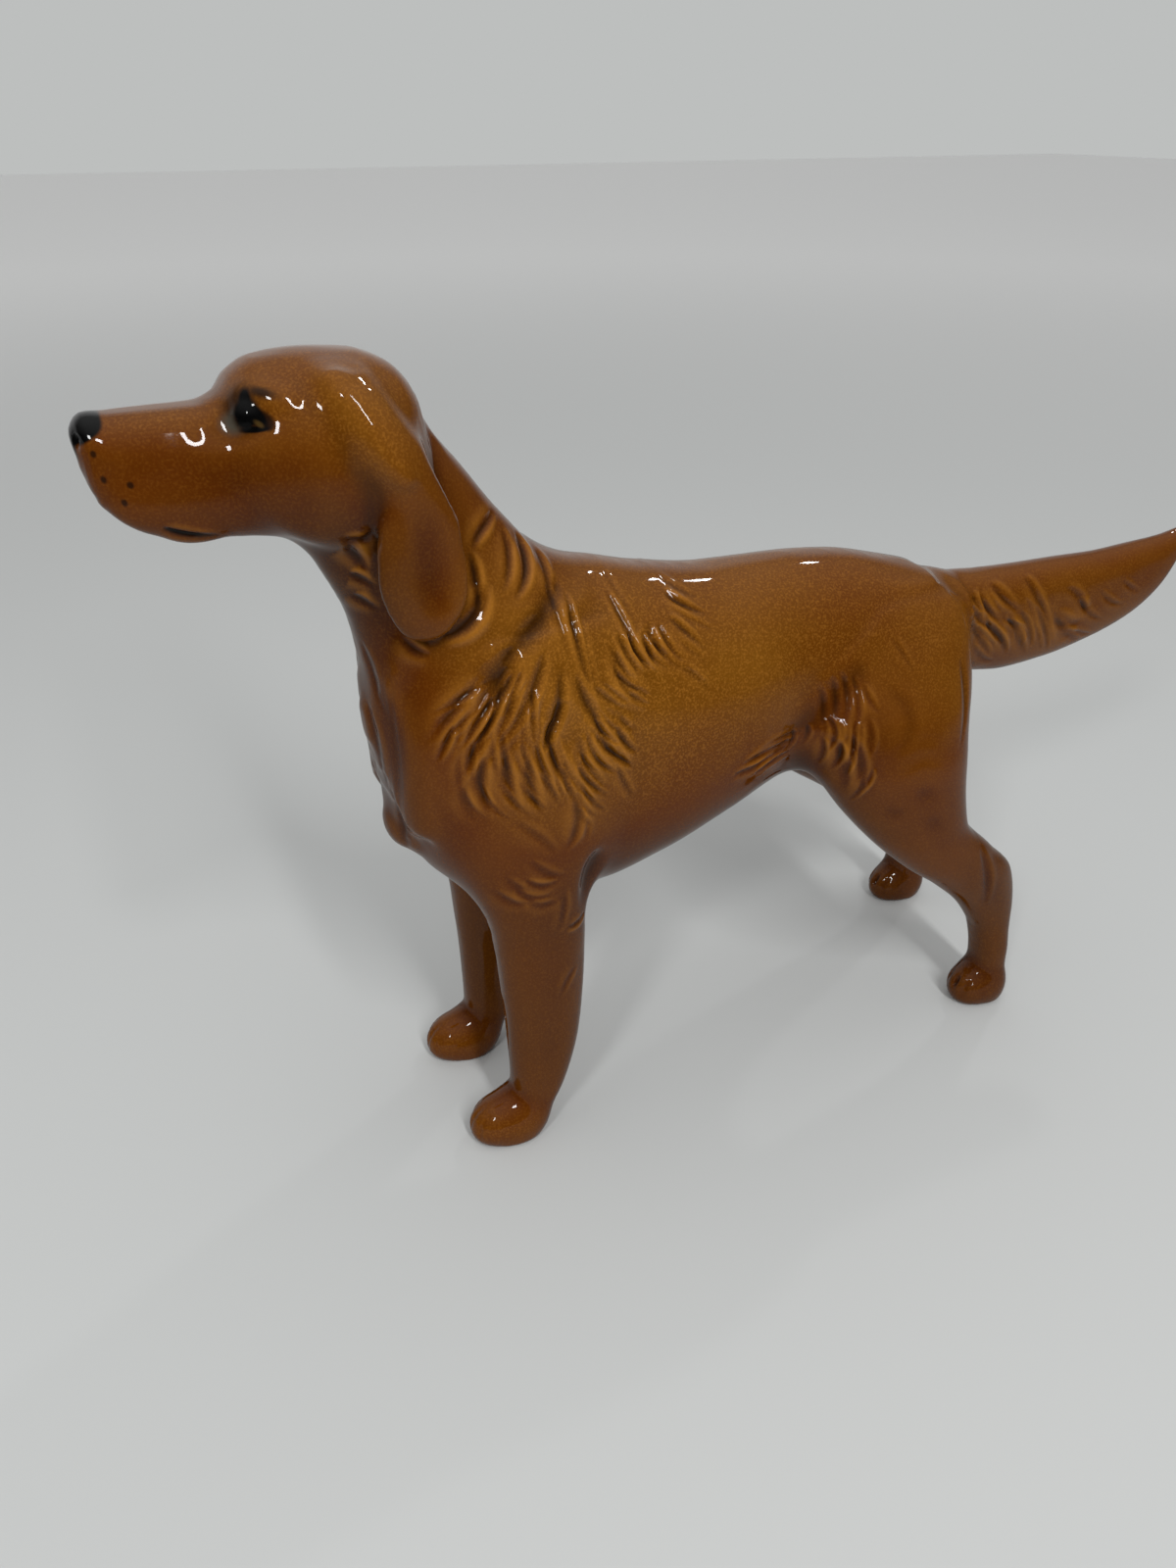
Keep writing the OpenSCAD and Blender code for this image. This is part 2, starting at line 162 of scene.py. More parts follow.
@dataclass
class Loft:
    """A rounded profile carried along a straight path in the side view.

    Attributes:
        stations: rows of place, low, high, middle and half width, and where it changes
            the share of the height at which the profile is widest and its exponent.
        run: along the dog or up a limb.
        base: where the path starts, x and z.
        lean: turn of the path in the side view, in degrees.
        tip: rounding of the path's ends.
    """

    stations: Sequence[Row]
    run: Run = Run.ALONG
    base: tuple[float, float] = (0.0, 0.0)
    lean: float = 0.0
    tip: float = 1.0

    def __post_init__(self) -> None:
        """Fill the rows up to seven columns and fair them."""
        rows = np.array([tuple(r) + (0.52, 2.2)[len(r) - 5:] if len(r) < 7 else r
                         for r in self.stations], float)
        self.table = faired(rows[np.argsort(rows[:, 0])])
        turn = np.radians(self.lean)
        path = (np.cos(turn), np.sin(turn)) if self.run is Run.ALONG else (
            -np.sin(turn), np.cos(turn))
        rise = (-path[1], path[0]) if self.run is Run.ALONG else (path[1], -path[0])
        self.path, self.rise = path, rise

    def box(self) -> tuple[Array, Array]:
        """Corners of the profile's swept box.

        Returns:
            The lowest and the highest corner.
        """
        t, low, high, middle, half = self.table[:, :5].T
        u, w = np.concatenate([t, t]), np.concatenate([low, high])
        x = self.base[0] + self.path[0] * u + self.rise[0] * w
        z = self.base[1] + self.path[1] * u + self.rise[1] * w
        return (np.array([x.min(), (middle - half).min(), z.min()]),
                np.array([x.max(), (middle + half).max(), z.max()]))

    def distance(self, x: Array, y: Array, z: Array, step: float) -> Array:
        """Distance from the swept profile.

        The profile is |w|^n + |q|^n = 1, with w the height from its widest level and q
        the width, each as a share of its reach. The left side's n-th root less 1,
        over its slope, is near enough a distance in millimetres close by. Farther off,
        where the path's ends would mislead it, most of the gap to the profile's box is.

        Args:
            x: lattice places along the dog.
            y: lattice places across it.
            z: lattice heights.
            step: lattice step.

        Returns:
            Distances, below zero inside.
        """
        dx, dz = x - self.base[0], z - self.base[1]
        t = dx * self.path[0] + dz * self.path[1]
        w = dx * self.rise[0] + dz * self.rise[1]
        low, high, middle, half, share, power = (
            np.interp(t, self.table[:, 0], column).astype(np.float32)
            for column in self.table[:, 1:].T)
        level = low + share * (high - low)
        up = np.where(w > level, (w - level) / (high - level), (level - w) / (level - low))
        out = np.abs(y - middle) / half
        ring = (up ** power + out ** power) ** (1 / power)
        slope = np.sqrt(sum(g * g for g in np.gradient(ring, step)) + 1e-6)
        ends = np.maximum(self.table[0, 0] - t, t - self.table[-1, 0])
        beside = np.maximum(np.maximum(low - w, w - high), np.abs(y - middle) - half)
        return pare(np.maximum((ring - 1) / slope, 0.7 * beside), ends, self.tip)


@dataclass
class Lump:
    """A muscle or bone under the skin: an ellipsoid turned in the side view and in plan.

    Attributes:
        centre: x, y, z.
        reach: half lengths along its own three axes.
        pitch: turn in the side view, in degrees, that lifts its tail end.
        yaw: turn in plan, in degrees, that swings its tail end to the right.
    """

    centre: tuple[float, float, float]
    reach: tuple[float, float, float]
    pitch: float = 0.0
    yaw: float = 0.0

    def box(self) -> tuple[Array, Array]:
        """Corners of a box that holds it at any turn."""
        far = max(self.reach) if self.pitch or self.yaw else np.array(self.reach)
        return np.array(self.centre) - far, np.array(self.centre) + far

    def distance(self, x: Array, y: Array, z: Array, step: float) -> Array:
        """Distance from an ellipsoid: k (k - 1) over the slope of k.

        Args:
            x: lattice places along the dog.
            y: lattice places across it.
            z: lattice heights.
            step: lattice step, not needed here.

        Returns:
            Distances, below zero inside.
        """
        dx, dy, dz = (c - o for c, o in zip((x, y, z), self.centre))
        p, w = np.radians(self.pitch), np.radians(self.yaw)
        along, up = dx * np.cos(p) + dz * np.sin(p), dz * np.cos(p) - dx * np.sin(p)
        along, out = along * np.cos(w) + dy * np.sin(w), dy * np.cos(w) - along * np.sin(w)
        a, b, c = self.reach
        k = np.sqrt((along / a) ** 2 + (out / b) ** 2 + (up / c) ** 2)
        slope = np.sqrt((along / a ** 2) ** 2 + (out / b ** 2) ** 2 + (up / c ** 2) ** 2)
        return k * (k - 1) / np.maximum(slope, 1e-4)


class Clay:
    """The lattice on which masses are melted together."""

    FAR = 40.0

    def __init__(self, low: Sequence[float], high: Sequence[float], step: float) -> None:
        """Lay out an empty lattice.

        Args:
            low: lowest corner.
            high: highest corner.
            step: lattice step.
        """
        self.low, self.step = np.array(low, float), step
        self.axes = [np.arange(a, b + step, step, dtype=np.float32)
                     for a, b in zip(low, high)]
        self.depth = np.full([len(a) for a in self.axes], self.FAR, np.float32)

    def window(self, mass: Mass, margin: float) -> tuple[slice, ...]:
        """Slices of the lattice that hold a mass and a margin round it."""
        low, high = mass.box()
        return tuple(slice(*np.searchsorted(a, (l - margin, h + margin)))
                     for a, l, h in zip(self.axes, low, high))

    def measure(self, mass: Mass, window: tuple[slice, ...]) -> Array:
        """Distances from a mass in one window of the lattice."""
        x, y, z = (a[s] for a, s in zip(self.axes, window))
        return mass.distance(x[:, None, None], y[None, :, None], z[None, None, :], self.step)

    def press(self, mass: Mass, blend: float) -> None:
        """Press a mass on, with a fillet of width blend."""
        window = self.window(mass, blend + 3)
        self.depth[window] = melt(self.depth[window], self.measure(mass, window), blend)

    def scoop(self, mass: Mass, blend: float) -> None:
        """Scoop a mass out, with edges rounded over blend."""
        window = self.window(mass, blend + 1)
        self.depth[window] = pare(self.depth[window], -self.measure(mass, window), blend)

    def read(self, points: Array) -> Array:
        """Read the depth at points between lattice places, by weights of the 8 nearest.

        Args:
            points: places as rows of x, y, z.

        Returns:
            A depth for each row.
        """
        size = np.array(self.depth.shape)
        q = (points - self.low) / self.step
        i = np.clip(q.astype(int), 0, size - 2)
        f = q - i
        flat, total = self.depth.ravel(), np.zeros(len(points))
        for corner in np.ndindex(2, 2, 2):
            c = np.array(corner)
            place = ((i + c) * [size[1] * size[2], size[2], 1]).sum(1)
            total += flat[place] * np.where(c, f, 1 - f).prod(1)
        return total

    def slope(self, points: Array) -> Array:
        """Gradient of the depth at points, from readings half a step to each side."""
        reach = np.eye(3) * self.step * 0.6
        return np.stack([(self.read(points + r) - self.read(points - r)) for r in reach],
                        axis=1) / (1.2 * self.step)


def lattice_skin(clay: Clay) -> tuple[Array, Array]:
    """Read the skin off the lattice.

    Each lattice cell that the skin crosses gets one point, the mean of the crossings of
    its edges, and each lattice edge that it crosses gets a quad of the four cells
    round it, cut along the shorter diagonal.

    Args:
        clay: the finished lattice.

    Returns:
        Points as rows of x, y, z and faces as rows of three point numbers.
    """
    depth, inside = clay.depth, clay.depth < 0
    size = np.array(depth.shape) - 1
    count = sum(inside[a:a + size[0], b:b + size[1], c:c + size[2]].astype(np.int8)
                for a, b, c in np.ndindex(2, 2, 2))
    cells = np.argwhere((count > 0) & (count < 8))
    number = np.full(size, -1, np.int64)
    number[tuple(cells.T)] = np.arange(len(cells))
    total, hits = np.zeros((len(cells), 3)), np.zeros(len(cells))
    for axis in range(3):
        for first in np.ndindex(2, 2):
            a = np.insert(np.array(first), axis, 0)
            b = np.insert(np.array(first), axis, 1)
            da, db = depth[tuple((cells + a).T)], depth[tuple((cells + b).T)]
            crossed = (da < 0) != (db < 0)
            share = np.where(crossed, da / np.where(crossed, da - db, 1), 0)[:, None]
            total += crossed[:, None] * (a + share * (b - a))
            hits += crossed
    points = clay.low + (cells + total / hits[:, None]) * clay.step
    faces = []
    for axis in range(3):
        one, two = (axis + 1) % 3, (axis + 2) % 3
        ahead = np.moveaxis(inside, axis, 0)
        edge = np.argwhere(np.moveaxis(ahead[:-1] != ahead[1:], 0, axis))
        edge = edge[(edge[:, one] > 0) & (edge[:, two] > 0)]
        leaves = inside[tuple(edge.T)]
        quad = []
        for back in ((1, 1), (0, 1), (0, 0), (1, 0)):
            cell = edge.copy()
            cell[:, one] -= back[0]
            cell[:, two] -= back[1]
            quad.append(number[tuple(cell.T)])
        quad = np.stack(quad, axis=1)
        faces.append(np.where(leaves[:, None], quad, quad[:, ::-1]))
    quads = np.concatenate(faces)
    span = points[quads]
    short = (np.linalg.norm(span[:, 0] - span[:, 2], axis=1)
             < np.linalg.norm(span[:, 1] - span[:, 3], axis=1))[:, None]
    first = np.where(short, quads[:, [0, 1, 2]], quads[:, [0, 1, 3]])
    second = np.where(short, quads[:, [0, 2, 3]], quads[:, [1, 2, 3]])
    return points, np.concatenate([first, second])


def gathered(index: Array, rows: Array, count: int) -> Array:
    """Add up rows by number: column by column, the sum of the rows of each number."""
    return np.stack([np.bincount(index, column, count) for column in rows.T], axis=1)


def face_normals(points: Array, faces: Array) -> Array:
    """Normals of points: the cross products of the faces round each, added and scaled.

    Args:
        points: places as rows of x, y, z.
        faces: rows of three point numbers.

    Returns:
        A unit normal for each point.
    """
    a, b, c = points[faces].transpose(1, 0, 2)
    normal = np.cross(b - a, c - a)
    total = gathered(faces.ravel(), np.repeat(normal, 3, axis=0), len(points))
    return total / np.maximum(np.linalg.norm(total, axis=1, keepdims=True), 1e-12)


def finer(points: Array, faces: Array, wanted: Array) -> tuple[Array, Array]:
    """Divide the faces that touch wanted points.

    Each edge of such a face gets a point in its middle. A face becomes four, three or
    two by how many of its edges are divided, so no gap opens beside it.

    Args:
        points: places as rows of x, y, z.
        faces: rows of three point numbers.
        wanted: whether a point wants finer faces.

    Returns:
        The points with the new ones after them, and the new faces.
    """
    ends = np.sort(np.stack([faces, np.roll(faces, -1, 1)], axis=2), axis=2)
    key = ends[..., 0] * len(points) + ends[..., 1]
    edges, edge = np.unique(key, return_inverse=True)
    edge = edge.reshape(-1, 3)
    divided = np.zeros(len(edges), bool)
    divided[edge[wanted[faces].any(1)].ravel()] = True
    number = np.where(divided, len(points) + np.cumsum(divided) - 1, -1)
    pair = edges[divided]
    middle = (points[pair // len(points)] + points[pair % len(points)]) / 2
    split = divided[edge]
    count = split.sum(1)
    first = np.where(count == 2, (np.argmin(split, axis=1) + 1) % 3, np.argmax(split, axis=1))
    order = (first[:, None] + np.arange(3)) % 3
    corner = np.take_along_axis(faces, order, axis=1)
    half = number[np.take_along_axis(edge, order, axis=1)]
    made = [faces[count == 0]]
    for parts, how_many in (("ahc hbc", 1), ("hbi ahi aic", 2), ("ahj hbi jic hij", 3)):
        some = count == how_many
        named = dict(zip("abchij", np.concatenate([corner[some], half[some]], axis=1).T))
        made += [np.stack([named[c] for c in part], axis=1) for part in parts.split()]
    return np.concatenate([points, middle]), np.concatenate(made)


class Spread:
    """Neighbours of each point of a skin, for evening out what the points carry."""

    def __init__(self, faces: Array, count: int) -> None:
        """Note both ends of every face edge.

        Args:
            faces: rows of three point numbers.
            count: number of points.
        """
        self.start, self.end, self.count = faces.ravel(), np.roll(faces, -1, 1).ravel(), count
        self.share = np.maximum(np.bincount(self.start, minlength=count), 1)[:, None]

    def mean(self, rows: Array) -> Array:
        """Mean of the neighbours' rows at each point."""
        return gathered(self.start, rows[self.end], self.count) / self.share


# Skin and its relief


@dataclass
class Skin:
    """A closed skin of triangles.

    Attributes:
        points: places as rows of x, y, z.
        normals: unit normals of the whole figurine's skin, so that no joint shows.
        paint: columns of what the finish reads: see PAINT.
        faces: rows of three point numbers, outward.
    """

    points: Array
    normals: Array
    paint: Array
    faces: Array

    # Columns: glaze pooling with painted shade in hollows, glaze thinning on crests, the lip's ink, and the
    # spray with painted light on top and painted shade underneath.
    PAINT = ("pool", "crest", "ink", "tan")

    def part(self, faces: Array) -> "Skin":
        """The skin of some faces, with only the points that they use."""
        used, again = np.unique(faces, return_inverse=True)
        return Skin(self.points[used], self.normals[used], self.paint[used],
                    again.reshape(-1, 3))

    def split(self, level: Array) -> tuple["Skin", "Skin"]:
        """Cut the skin where a level passes zero and close both sides.

        Each cut edge gets a point at the share a / (a - b) of its two levels a and b.
        Both sides use the same points, and each loop of the cut is closed by a fan to
        its middle.

        Args:
            level: a number for each point.

        Returns:
            The skin above zero and the skin below.
        """
        level = np.where(np.abs(level) < 1e-3, 1e-3, level)
        above = level[self.faces] > 0
        total = above.sum(1)
        mixed = (total == 1) | (total == 2)
        lone_up = (total[mixed] == 1)
        lone = np.argmax(above[mixed] == lone_up[:, None], axis=1)
        a, b, c = np.take_along_axis(
            self.faces[mixed], (lone[:, None] + np.arange(3)) % 3, axis=1).T
        count = len(self.points)
        pairs = np.sort(np.concatenate([np.stack([a, b], 1), np.stack([a, c], 1)]), axis=1)
        key, again = np.unique(pairs[:, 0] * count + pairs[:, 1], return_inverse=True)
        p, q = key // count, key % count
        share = (level[p] / (level[p] - level[q]))[:, None]
        made = [rows[p] + share * (rows[q] - rows[p])
                for rows in (self.points, self.normals, self.paint)]
        made[1] /= np.maximum(np.linalg.norm(made[1], axis=1, keepdims=True), 1e-9)
        ab, ac = np.split(again, 2)
        start, end = np.where(lone_up, ab, ac), np.where(lone_up, ac, ab)
        loop, ahead = np.arange(len(key)), np.arange(len(key))
        ahead[start] = end
        for _ in range(int(np.ceil(np.log2(len(key) + 2)))):
            loop, ahead = np.minimum(loop, loop[ahead]), ahead[ahead]
        names, hub = np.unique(loop, return_inverse=True)
        size = np.bincount(hub)[:, None]
        middle = gathered(hub, made[0], len(names)) / size
        points = np.concatenate([self.points, made[0], middle])
        normals = np.concatenate([self.normals, made[1], np.zeros((len(names), 3))])
        paint = np.concatenate([self.paint, made[2],
                                gathered(hub, made[2], len(names)) / size])
        hub = hub[start] + count + len(key)
        ab, ac, start, end = (n + count for n in (ab, ac, start, end))
        one = np.stack([a, ab, ac], 1)
        two = np.concatenate([np.stack([ab, b, c], 1), np.stack([ab, c, ac], 1)])
        lone_two = np.tile(lone_up, 2)
        whole = Skin(points, normals, paint, self.faces)
        up = np.concatenate([self.faces[total == 3], one[lone_up], two[~lone_two],
                             np.stack([end, start, hub], 1)])
        down = np.concatenate([self.faces[total == 0], one[~lone_up], two[lone_two],
                               np.stack([start, end, hub], 1)])
        return whole.part(up), whole.part(down)

    def mesh(self, name: str) -> bpy.types.Mesh:
        """Put the skin into a Blender mesh in the frame's metres.

        Args:
            name: name of the mesh.

        Returns:
            The mesh, with the skin's own normals and its paint as attributes.
        """
        mesh = bpy.data.meshes.new(name)
        place = (self.points + [FOREPAW_LINE, 0, 0]) * MM
        mesh.vertices.add(len(place))
        mesh.vertices.foreach_set("co", place.ravel())
        mesh.loops.add(self.faces.size)
        mesh.loops.foreach_set("vertex_index", self.faces.astype(np.int32).ravel())
        mesh.polygons.add(len(self.faces))
        mesh.polygons.foreach_set("loop_start", np.arange(0, self.faces.size, 3))
        mesh.update(calc_edges=True)
        mesh.polygons.foreach_set("use_smooth", np.ones(len(self.faces), bool))
        for label, column in zip(self.PAINT, self.paint.T):
            mesh.attributes.new(label, "FLOAT", "POINT").data.foreach_set(
                "value", column.astype(np.float32))
        mesh.normals_split_custom_set_from_vertices(self.normals.tolist())
        return mesh


@dataclass
class Strokes:
    """Strokes of the modelling tool that draw locks of hair in the clay.

    Attributes:
        rows: start, middle and end of each stroke as x and z, or distance from the middle
            line and z in the front view, its width and its depth.
        lock: height of the locks that a stroke pushes up beside it, as a share of depth.
        steep: least facing of the view, as the share of the normal, that takes a stroke.
        echoes: whether fine strokes have lighter ones beside them.
        seed: seed of the echoes' places.
        press: how hard the tool presses, as a share of each depth.
        view: the side on which the strokes are drawn.
        glaze: share of the glaze's pooling that their grooves take.
    """

    rows: Sequence[Row]
    lock: float = 0.9
    steep: float = 0.12
    echoes: bool = True
    seed: int = 7
    press: float = 0.6
    view: View = View.SIDE
    glaze: float = 1.0

    # Depth in millimetres over which a stroke has echoes
    ECHOED = 0.36

    def __post_init__(self) -> None:
        """Echo each deeper stroke on both sides by lighter, shorter ones."""
        chance = np.random.default_rng(self.seed)
        made = [tuple(r) for r in self.rows]
        for row in [r for r in made if self.echoes and r[7] > self.ECHOED]:
            line, width, depth = np.array(row[:6]).reshape(3, 2), row[6], row[7]
            run = line[2] - line[0]
            out = np.array([-run[1], run[0]]) / np.hypot(*run)
            for hand in (-1, 1):
                slip, off, weak, thin, short = chance.uniform(
                    (-0.4, 0.8, 0.2, 0.6, 0.5), (0.4, 1.7, 0.7, 1.0, 0.95))
                echo = line + run * slip + out * hand * off * width
                echo = echo[1] + (echo - echo[1]) * short
                made.append((*echo.ravel(), width * thin, depth * weak))
        self.drawn = made

    def height(self, points: Array, normals: Array) -> Array:
        """Height that the strokes give each point, on both sides of the dog.

        A stroke is a parabola through its three points. Across it the height is a
        bell-shaped groove with a narrow lock on one side and a broad low one on the other,
        and along it both width and height taper as a sine. It fades where the skin turns
        away from the view.

        Args:
            points: places on the skin.
            normals: unit normals there.

        Returns:
            Heights in millimetres, below zero in a groove.
        """
        axis, outward = self.view.value
        flat = np.stack([points[:, axis], points[:, 2]], axis=1)
        facing = -normals[:, outward]
        if self.view is View.SIDE:
            facing = np.abs(facing)
        else:
            flat[:, 0] = np.abs(flat[:, 0])
        height = np.zeros(len(points))
        facing = ease(facing, self.steep, self.steep + 0.3)
        bells = ((0.0, 0.9, -1.0), (1.8, 0.85, self.lock), (-2.2, 1.5, 0.5 * self.lock))
        t = np.linspace(0, 1, 15)[:, None]
        for row in self.drawn:
            start, middle, end = np.array(row[:6]).reshape(3, 2)
            width, depth = row[6:8]
            bend = 2 * middle - (start + end) / 2
            line = (1 - t) ** 2 * start + 2 * t * (1 - t) * bend + t * t * end
            near = np.flatnonzero(np.all((flat > line.min(0) - 2.5 * width)
                                         & (flat < line.max(0) + 2.5 * width), axis=1))
            a, run = line[:-1], np.diff(line, axis=0)
            gap = flat[near, None] - a
            share = np.clip((gap * run).sum(2) / (run ** 2).sum(1), 0, 1)
            off = gap - share[:, :, None] * run
            far = np.hypot(off[:, :, 0], off[:, :, 1])
            best = far.argmin(1)
            pick = np.arange(len(near)), best
            along = (best + share[pick]) / len(run)
            turn = np.sign(run[best, 0] * off[pick][:, 1] - run[best, 1] * off[pick][:, 0])
            taper = np.sin(np.pi * along ** 0.8) ** 0.7
            across = far[pick] * turn / (width * (0.18 + 0.24 * taper))
            bell = sum(share * np.exp(-((across - at) / wide) ** 2) for at, wide, share in bells)
            height[near] += self.press * depth * taper * bell
        return height * facing


# The castings


@dataclass
class Casting:
    """One casting of the figurine.

    Attributes:
        name: the piece's name.
        nodes: the part's solids that it stands for.
    """

    name: str
    nodes: tuple[str, ...]

    def model(self, clay: Clay) -> None:
        """Press the casting's masses on the clay."""

    def strokes(self) -> list[Strokes]:
        """The casting's hair strokes."""
        return []

    def keep(self, skin: Skin) -> Array:
        """A level for each point of the skin that is above zero on this casting."""
        raise NotImplementedError

    def cut(self, skin: Skin) -> Skin:
        """Cut the casting off a skin and keep it.

        Args:
            skin: what is left of the whole skin.

        Returns:
            What is left after the cut.
        """
        self.skin, rest = skin.split(self.keep(skin))
        return rest

    def dress(self, glaze: bpy.types.Material) -> bpy.types.Object:
        """Make the casting's object, glaze it and tie it to the frame.

        Args:
            glaze: its finish.

        Returns:
            The finished piece.
        """
        mesh = self.skin.mesh(self.name)
        mesh.materials.append(glaze)
        piece = bpy.data.objects.new(self.name, mesh)
        bpy.context.scene.collection.objects.link(piece)
        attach(piece, BODY)
        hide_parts(*self.nodes)
        LOG.info("%s: %d triangles", self.name, len(mesh.polygons))
        return piece


@dataclass
class Torso(Casting):
    """Trunk and shoulders, hollow cast, with the vent under the belly.

    Attributes:
        trunk: stations of the trunk, as a loft's.
        vent: x and z of the vent's mouth.
        vent_d: diameter of the vent.
        hair: fine strokes of the shoulder, flank and belly, as a Strokes row.
        hollows: broad soft hollows of the neck's foot, flank and thigh.
        locks: longer locks that run between the fine strokes.
        breast: folds of the breast, drawn in the front view.
    """

    trunk: tuple[Row, ...] = (
        (-16.5, 84.5, 90.2, 0, 1.85), (-14.4, 72.3, 96.6, 0, 8.1), (-8.5, 58.2, 103, 0, 13.7),
        (-0.5, 51.8, 108.2, 0, 16.65), (9.5, 48.6, 111.4, 0, 18.1), (21.5, 48, 110, 0, 18.5),
        (33.5, 50.9, 107, 0, 18.5), (47.5, 56.1, 104.8, 0, 17.3), (61.5, 61, 104.5, 0, 15),
        (73.5, 63.4, 103.4, 0, 15), (85.5, 65.9, 100.5, 0, 15.5), (95.5, 68.3, 96.3, 0, 13.6),
        (101.5, 72, 91.1, 0, 9), (104.5, 78.1, 82.8, 0, 1.9))
    vent: tuple[float, float] = (55.75, 59.0)
    vent_d: float = 4.0
    hair: tuple[Row, ...] = (
        (4.4, 99, 2.3, 95.6, 0.7, 92, 1.2, 0.5), (3.2, 98.9, 0.4, 95, -2.6, 89.5, 1.2, 0.6),
        (-0.3, 95.5, -3, 92.2, -5.9, 88, 1.3, 0.6), (-6.9, 91.9, -8.3, 89.3, -9.9, 85.9, 1.2, 0.5),
        (-0.9, 98, -5.2, 96, -10.1, 93.4, 1.1, 0.25), (-3.8, 93.8, -6.2, 91.6, -7.8, 90.4, 1.1, 0.3),
        (14.5, 108.4, 14.4, 101.7, 15.9, 93.2, 1.4, 0.55), (9.2, 90.6, 7.9, 88.9, 7.3, 86.6, 1.4, 0.35),
        (22.4, 106.9, 23.9, 102.1, 26.2, 96, 1.2, 0.4), (22, 101.6, 23.3, 97.5, 25.3, 93.3, 1.2, 0.5),
        (24.3, 101.2, 25.1, 97.5, 27.7, 94.4, 1.1, 0.5), (27, 100.6, 27.5, 97.4, 30.6, 94.2, 1.3, 0.6),
        (30.3, 101, 31.4, 97.4, 34.5, 94.2, 1.2, 0.5), (32.6, 101.5, 35, 99.1, 38, 96.1, 1.2, 0.4),
        (20.4, 96.9, 21.7, 94, 24.6, 91.9, 1.2, 0.5), (20.8, 94.2, 23.2, 91.4, 26.2, 89.2, 1.1, 0.45),
        (33.2, 104.7, 35.8, 102.7, 39.9, 100.6, 1.1, 0.5), (32.2, 94.7, 35.6, 92.1, 38.2, 89.1, 1.2, 0.25),
        (16.4, 94.3, 18.8, 91.8, 21.2, 89.8, 1.1, 0.35), (5.8, 96, 5.2, 91.5, 5.3, 87.3, 1.1, 0.45),
        (5.3, 87.3, 6.5, 82.1, 9.1, 75.9, 1.2, 0.5), (7.7, 87.4, 8.7, 82.5, 11, 76.8, 1.1, 0.4),
        (1.9, 88.6, 2.3, 84.5, 4.4, 80.8, 1.1, 0.28), (0.5, 90.4, 0.2, 86.4, 1.3, 82.1, 1.1, 0.28),
        (-1.4, 89.8, -1.4, 85.7, -0.9, 82.2, 1.1, 0.25), (-4.1, 89.2, -4.8, 85.1, -4.7, 81.7, 1.1, 0.22),
        (-6.4, 86.8, -6.9, 83.5, -6.5, 80.3, 1.1, 0.22), (-6.1, 81.7, -5.5, 78, -3.1, 74.7, 1.2, 0.28),
        (-3.5, 81.6, -2.3, 77.5, 0.8, 74.3, 1.1, 0.28), (-0.9, 81.8, 1, 77.9, 3.9, 74.8, 1.1, 0.28),
        (2.4, 81.1, 4.5, 77.4, 7.3, 75, 1.1, 0.28), (5.3, 82.4, 7.5, 78.5, 9.5, 74.9, 1.1, 0.25),
        (14.5, 86.9, 15.6, 82.8, 19.6, 78.7, 1.3, 0.6), (12.6, 82.1, 14.3, 78.5, 18.3, 74.7, 1.2, 0.55),
        (17, 86, 19.1, 82.5, 23.3, 78.8, 1.2, 0.5), (19.8, 87.1, 21.4, 83.8, 23.7, 81.5, 1.3, 0.45),
        (15.9, 89.2, 17.9, 85.8, 20.1, 84.1, 1.1, 0.4), (12, 77.3, 13.3, 74.2, 15.8, 71.3, 1.2, 0.4),
        (9.6, 82.3, 10.6, 78.6, 12.3, 74.5, 1.1, 0.4), (19.6, 80.1, 21.5, 75.9, 23.5, 72.4, 1.2, 0.35),
        (68.1, 78, 67.4, 74.2, 67.7, 69.6, 1.1, 0.4), (63.5, 78.6, 64.5, 76, 63.7, 72.5, 1.1, 0.42),
        (62.5, 74.8, 63, 72.1, 62.8, 68.6, 1, 0.3), (59.9, 77.2, 60.2, 75.6, 59.7, 73, 1, 0.3),
        (65.4, 74.1, 65.3, 71.2, 64.5, 68.3, 1.1, 0.4), (66.9, 72.7, 67, 70.4, 66.3, 67.1, 1, 0.35),
        (70.6, 68.9, 70.2, 66.5, 68.6, 63.3, 1, 0.35), (69.2, 66.9, 69, 64.6, 68.1, 61.3, 1, 0.3),
        (77.3, 91.3, 79.4, 87.8, 81.5, 83.6, 1.2, 0.15), (57, 76.8, 57.6, 74.6, 56.2, 72.4, 1, 0.3),
        (45.6, 73.2, 51.4, 74.3, 58.2, 74.4, 1.46, 0.4), (49, 70, 52.9, 71.1, 57.6, 72, 1.46, 0.4),
        (43.4, 71.5, 47.8, 71.8, 51.6, 72.9, 1.46, 0.35))
    hollows: tuple[Row, ...] = (
        (13.9, 110, 8, 105.6, 1.4, 101, 4.4, 1), (3.2, 103.2, 0.3, 97.6, -2.4, 92.6, 4.2, 0.9),
        (11.2, 93.2, 8.3, 89.8, 7.3, 85.6, 3.6, 0.6), (71.5, 87.5, 62.5, 79.8, 52, 72.2, 6.6, 0.6),
        (80.4, 62.6, 82.6, 61.6, 85.2, 60, 3.6, 0.2), (84.2, 55.8, 86.2, 54.2, 88.6, 52.6, 3.4, 0.18),
        (74.5, 60.2, 76.4, 58.6, 79, 58.2, 3, 0.18), (-3, 101.5, 1.5, 96, 2.5, 90, 5, 0.3),
        (93, 84.5, 93.4, 77, 91.4, 68.5, 2.4, 0.45), (75, 83.1, 78.8, 76.9, 75.4, 71.2, 3.4, 0.22))
